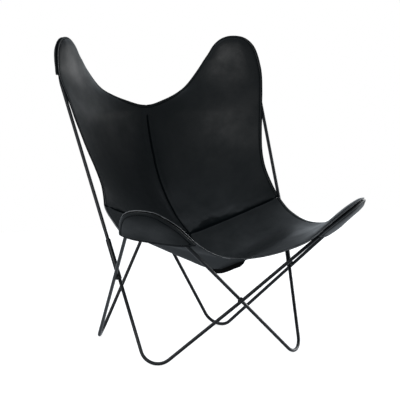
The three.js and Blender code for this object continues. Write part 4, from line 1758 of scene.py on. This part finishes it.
    def dress(self, cut: LeatherCut) -> list[tuple[Vector, Vector]]:
        """Evens, faces and ripples the sheet, marks how far each place is from edges and seams, and marks
        where shade is painted.

        Args:
            cut: The sheet's middle surface.

        Returns:
            The free edge in small steps, with its direction at each.
        """
        self.even(cut)
        self.face(cut)
        bm = cut.bm
        steps = [(self.sided(p), self.sided(w)) for p, w in walk(cut.free, self.edge_step)]
        edges = measure_tree([p for p, _ in steps])
        seams = measure_tree([self.sided(p) for p, _ in walk(cut.seams, self.seam_step)])
        pleats = [self.sided(p) for p, _ in walk(cut.gathered, self.seam_step)]
        pleat = measure_tree(pleats)
        edge_mm = bm.verts.layers.float.new("edge_mm")
        seam_mm = bm.verts.layers.float.new("seam_mm")
        turned = bm.verts.layers.float["turned"]
        weights = bm.verts.layers.deform.verify()
        half = self.leather / 2
        # a pocket's edge leans in to the panel that it is sewn to, and only the panel's gets the pale
        # burnish with its painted highlight
        joining, plain = (half, self.plain_mm) if cut.outward else (0.0, 0.0)
        for vert in bm.verts:
            gap, near = edges.find(vert.co)[2], seams.find(vert.co)[2]
            vert[edge_mm] = clamp(gap / MM, plain, self.far_mm)
            # an allowance that hangs below its roll is painted in shade all over, on both sides
            hangs = vert[turned] > 0.5 and near > self.hang_from
            vert[seam_mm] = 0.0 if hangs else min(near / MM, self.far_mm)
            if self.form.inked_and_shaded and not cut.outward:
                # the inked edge gets a groove's painted shade, matt and without sheen, fading inward
                vert[seam_mm] = min(vert[seam_mm], self.ink_shade_mm + gap / self.ink_shade_reach)
            short = 1 - min(gap, half) / half
            vert[weights][0] = max(math.sqrt(1 - short * short), self.thinnest)
            # the waves die out at the edges and at the seams
            wave = smooth(min(gap, near) / self.wave_margin) * noise.noise(vert.co / self.wave_length)
            lift = self.wave * wave - self.stitch_dip * bell(gap, self.stitch_inset, self.stitch_reach)
            lift += self.lip * bell(near, self.lip_place, self.lip_reach) * smooth(gap / self.lip_margin)
            lift -= joining * (1 - vert[weights][0])
            wrinkle = noise.noise_vector(vert.co / self.pucker_length) * self.pucker
            fade = smooth(1 - near / self.pucker_reach) * smooth(gap / self.pucker_margin)
            if pleats and vert[turned] < 0.5:
                _, i, apart = pleat.find(vert.co)
                strength = self.fold_strength(vert.co, i / len(pleats))
                out = apart / self.gather_place
                lift += self.gather * strength * out * math.exp(1 - out)
                # the fold's lower side gets little light, so a shade fades over it
                shade = self.fold_mm + (apart / (self.fold_band * strength + MM)) ** self.fold_fade
                vert[seam_mm] = min(vert[seam_mm], shade)
            vert.co += vert.normal * lift + wrinkle * fade
        return steps

    def sheet_object(
        self, name: str, bm: bmesh.types.BMesh, finishes: list[bpy.types.Material]
    ) -> bpy.types.Object:
        """Makes the sheet an object with its thickness.

        Args:
            name: The piece's name.
            bm: The dressed middle surface, which is freed.
            finishes: The finishes of its faces and of its reverse.

        Returns:
            The new object.
        """
        piece = new_object(name, bm, finishes)
        piece.vertex_groups.new(name="thickness")
        wall = piece.modifiers.new("thickness", "SOLIDIFY")
        wall.thickness = self.leather
        wall.offset = 0.0
        wall.vertex_group = "thickness"
        wall.use_quality_normals = True
        wall.material_offset = 1
        finer = piece.modifiers.new("finer", "SUBSURF")
        finer.levels = finer.render_levels = 1
        return piece


@dataclass
class Sling:
    """The leather sling: four panels, four pockets and the edge stitching."""

    layout: FrameLayout
    stitch_length: float = 4.6 * MM
    stitch_pitch: float = 6.4 * MM
    thread: float = 0.95 * MM
    thread_sides: tuple[int, int] = (6, 4)
    thread_flat_share: float = 0.8
    thread_rise_share: float = 0.15
    probe_depth: float = 12 * MM
    probe_gap: float = 2.5 * MM
    probe_ways: int = 24
    waste: float = 1.02
    stitch_inset: float = STITCH_INSET

    def build(
        self, grain: bpy.types.Material, flesh: bpy.types.Material, thread: bpy.types.Material
    ) -> list[bpy.types.Object]:
        """Builds every leather piece.

        Args:
            grain: The leather's grain side.
            flesh: The leather's flesh side.
            thread: The sewing thread.

        Returns:
            The finished pieces.
        """
        back = back_form(self.layout)
        seat = seat_form(self.layout, back)
        pieces = []
        for side in Side:
            for panel, pocket, form, rod in (
                ("back_panel", "hoop_pocket", back, f"back_hoop_{side.word}_steel"),
                ("seat_panel", "wing_pocket", seat, f"base_rod_{side.word}_steel"),
            ):
                sheet = LeatherSheet(form, side)
                for name, cut in (
                    (f"{pocket}_{side.word}", sheet.pocket_cut()),
                    (f"{panel}_{side.word}", sheet.panel_cut()),
                ):
                    area, flat = self.flat_size(cut.bm)
                    steps = sheet.dress(cut)
                    skin = sheet.sheet_object(f"{name}_leather", cut.bm, [grain, flesh])
                    settle(skin, Slot.LEATHER, name)
                    sewn = self.stitches(f"{name}_stitches", skin, steps, thread)
                    pieces += [skin, sewn]
        return pieces

    def flat_size(self, bm: bmesh.types.BMesh) -> tuple[float, tuple[float, float]]:
        """The cut's flat size.

        Args:
            bm: The middle surface.

        Returns:
            The area, and the rectangle's width and length.
        """
        area = sum(face.calc_area() for face in bm.faces)
        spread = [max(v.co[k] for v in bm.verts) - min(v.co[k] for v in bm.verts) for k in range(3)]
        width = spread[0]
        length = math.hypot(spread[1], spread[2])
        scale = math.sqrt(max(area / (width * length), 1.0))
        return area, (width * scale * self.waste, length * scale * self.waste)

    def stitches(
        self,
        name: str,
        skin: bpy.types.Object,
        steps: list[tuple[Vector, Vector]],
        thread: bpy.types.Material,
    ) -> bpy.types.Object:
        """Lays stitches on a sheet, one inset inside its free edge.

        Args:
            name: The piece's name.
            skin: The sheet.
            steps: The free edge in small steps, with its direction at each.
            thread: The thread's material.

        Returns:
            All stitches as one piece.
        """
        surface = BVHTree.FromObject(skin, bpy.context.evaluated_depsgraph_get())
        bm = bmesh.new()
        walked = 0.0
        due = self.stitch_pitch
        for (here, way), (there, _) in zip(steps, steps[1:]):
            walked += (there - here).length
            if walked < due:
                continue
            due += self.stitch_pitch
            inside = self.inward(surface, here, way)
            if inside is None:
                continue
            spot, normal, _, _ = surface.find_nearest(here + inside * self.stitch_inset)
            self.stitch(bm, spot, way, normal)
        return settle(new_object(name, bm, [thread]), Slot.LEATHER)

    def inward(self, surface: BVHTree, edge: Vector, run: Vector) -> Vector | None:
        """The way from a place on the edge into the sheet, square to the edge.

        Args:
            surface: The sheet's faces.
            edge: The place.
            run: The edge's way there.

        Returns:
            The unit way, or nothing where the sheet is too narrow.
        """
        best, found = None, self.probe_gap
        side = run.orthogonal().normalized()
        for k in range(self.probe_ways):
            way = Matrix.Rotation(math.tau * k / self.probe_ways, 3, run) @ side
            gap = surface.find_nearest(edge + way * self.probe_depth)[3]
            if gap < found:
                best, found = way, gap
        return best

    def stitch(self, bm: bmesh.types.BMesh, spot: Vector, run: Vector, normal: Vector) -> None:
        """Adds one stitch: a small lozenge of thread lying on the leather.

        Args:
            bm: What it is added to.
            spot: Its place.
            run: Which way it runs.
            normal: The leather's normal.
        """
        round_about, up = self.thread_sides
        made = bmesh.ops.create_uvsphere(bm, u_segments=round_about, v_segments=up, radius=0.5)
        size = Vector((self.thread, self.thread * self.thread_flat_share, self.stitch_length))
        bmesh.ops.scale(bm, verts=made["verts"], vec=size)
        along = (run - normal * run.dot(normal)).normalized()
        turn = Matrix((normal.cross(along), normal, along)).transposed().to_4x4()
        place = Matrix.Translation(spot + normal * self.thread * self.thread_rise_share)
        bmesh.ops.transform(bm, verts=made["verts"], matrix=place @ turn)


# Studio
@dataclass
class SoftBox:
    """One soft box: where it hangs, what it looks at, its size in metres and its power in watts."""

    name: str
    place: Point
    aim: Point
    size: tuple[float, float]
    power: float

    def hang(self) -> None:
        """Hangs the soft box."""
        data = bpy.data.lights.new(self.name, "AREA")
        data.shape = "RECTANGLE"
        data.size, data.size_y = self.size
        data.energy = self.power
        light = bpy.data.objects.new(self.name, data)
        way = Vector(self.aim) - Vector(self.place)
        turn = way.to_track_quat("-Z", "Y").to_matrix().to_4x4()
        light.matrix_world = Matrix.Translation(self.place) @ turn
        light.visible_camera = False
        bpy.context.scene.collection.objects.link(light)


@dataclass(frozen=True)
class Glow:
    """One soft patch of the room's light: the way to it, the cosines where it fades, its strength."""

    way: Point
    fades: float  # the cosine of the angle where it is gone
    full: float  # and where it is whole
    strength: float


@dataclass
class Studio:
    """A pale floor, soft boxes and the camera at the photograph's angle."""

    camera_place: Point = (-2.3626, -4.55205, 1.1044)
    yaw: float = -0.480
    pitch: float = 0.1317
    roll: float = 0.0145
    lens: float = 162.0
    sensor: float = 36.0
    sight: float = 200.0
    floor_size: float = 4.4
    backdrop: float = 1.0  # what the camera sees behind the chair
    front_glow: float = 0.13  # what the chair sees of the room's dark front and of its paler rear
    rear_glow: float = 0.4
    rear_fades: tuple[float, float] = (-0.2, 0.6)
    glows: tuple[Glow, ...] = (
        Glow((0.36, 0.93, 0.1), 0.78, 0.95, 0.9),  # the lit backdrop behind
        Glow((0.05, 0.7, 0.7), 0.88, 0.98, 0.45),  # and its top
        Glow((0.84, 0.1, -0.5), 0.75, 0.95, 0.5),  # the lit floor on the right
        Glow((-0.4, 0.1, -0.9), 0.4, 0.8, 0.1),  # the floor below
        Glow((0.0, 0.2, 1.0), 0.7, 0.97, 0.1),  # the ceiling
    )
    tint: str = "edf6ff"
    boxes: tuple[SoftBox, ...] = (
        SoftBox("left_box", (-2.3, -1.2, 1.55), (0.1, 0.1, 0.7), (1.2, 1.7), 20.0),
        SoftBox("right_box", (2.7, 0.15, 0.75), (-0.2, 0.1, 0.7), (2.6, 1.3), 44.0),
    )

    def build(self) -> None:
        """Builds the camera, the floor, the world and the lights."""
        self.camera()
        self.floor()
        self.world()
        for box in self.boxes:
            box.hang()
        view = bpy.context.scene.view_settings
        view.view_transform = "Standard"
        view.look = "None"

    def axes(self) -> tuple[Vector, Vector, Vector]:
        """The camera's right, up and backward ways.

        Returns:
            Three unit ways.
        """
        flat = math.cos(self.pitch)
        back = Vector((math.sin(self.yaw) * flat, -math.cos(self.yaw) * flat, math.sin(self.pitch)))
        level = Vector((math.cos(self.yaw), math.sin(self.yaw), 0))
        raised = back.cross(level)
        right = level * math.cos(self.roll) + raised * math.sin(self.roll)
        up = raised * math.cos(self.roll) - level * math.sin(self.roll)
        return right, up, back

    def camera(self) -> None:
        """Places the camera by its yaw, pitch and roll."""
        data = bpy.data.cameras.new("camera")
        data.lens = self.lens
        data.sensor_width = self.sensor
        data.clip_end = self.sight
        camera = bpy.data.objects.new("camera", data)
        turn = Matrix(self.axes()).transposed().to_4x4()
        camera.matrix_world = Matrix.Translation(self.camera_place) @ turn
        bpy.context.scene.collection.objects.link(camera)
        bpy.context.scene.camera = camera

    def floor(self) -> None:
        """Lays the floor."""
        bm = bmesh.new()
        bmesh.ops.create_grid(bm, x_segments=2, y_segments=2, size=self.floor_size / 2)
        paper = new_object("studio_floor", bm, [StudioFloor().material()])
        # what the chair sees of the floor is the world's glow, so that it can be brighter on one side
        paper.visible_diffuse = paper.visible_glossy = False

    def world(self) -> None:
        """White behind the chair for the camera, and a room darker in front than behind for the leather."""
        world = bpy.data.worlds.new("studio")
        bpy.context.scene.world = world
        world.use_nodes = True
        world.node_tree.nodes.clear()
        add = partial(add_node, world.node_tree)
        way = add("ShaderNodeTexCoord").outputs["Generated"]
        rear = Glow(tuple(-self.axes()[2]), *self.rear_fades, self.rear_glow - self.front_glow)
        level = None
        for glow in (rear, *self.glows):
            centre = tuple(Vector(glow.way).normalized())
            facing = add("ShaderNodeVectorMath", {"operation": "DOT_PRODUCT", 1: centre}, {0: way})
            patch = add(
                "ShaderNodeMapRange",
                {
                    "From Min": glow.fades,
                    "From Max": glow.full,
                    "To Max": glow.strength,
                    "interpolation_type": "SMOOTHSTEP",
                },
                {"Value": facing.outputs["Value"]},
            ).outputs[0]
            links = {0: patch, 1: level} if level else {0: patch}
            level = add("ShaderNodeMath", {"operation": "ADD", 1: self.front_glow}, links).outputs[0]
        room = add("ShaderNodeBackground", {"Color": linear(self.tint)}, {"Strength": level})
        white = add("ShaderNodeBackground", {"Color": (1.0, 1.0, 1.0, 1.0), "Strength": self.backdrop})
        seen = add("ShaderNodeLightPath").outputs["Is Camera Ray"]
        both = add("ShaderNodeMixShader", links={0: seen, 1: room.outputs[0], 2: white.outputs[0]})
        add("ShaderNodeOutputWorld", links={"Surface": both.outputs[0]})


def main() -> None:
    """Builds the chair and the studio."""
    logging.basicConfig(level=logging.INFO, format="%(name)s: %(message)s")
    noise.seed_set(NOISE_SEED)
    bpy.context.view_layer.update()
    layout = FrameLayout.in_frame()
    SteelFrame(layout).build(PowderCoat().material())
    Sling(layout).build(SaddleLeather().material(), FleshSide().material(), WaxedThread().material())
    Studio().build()


if __name__ == "__main__":
    main()
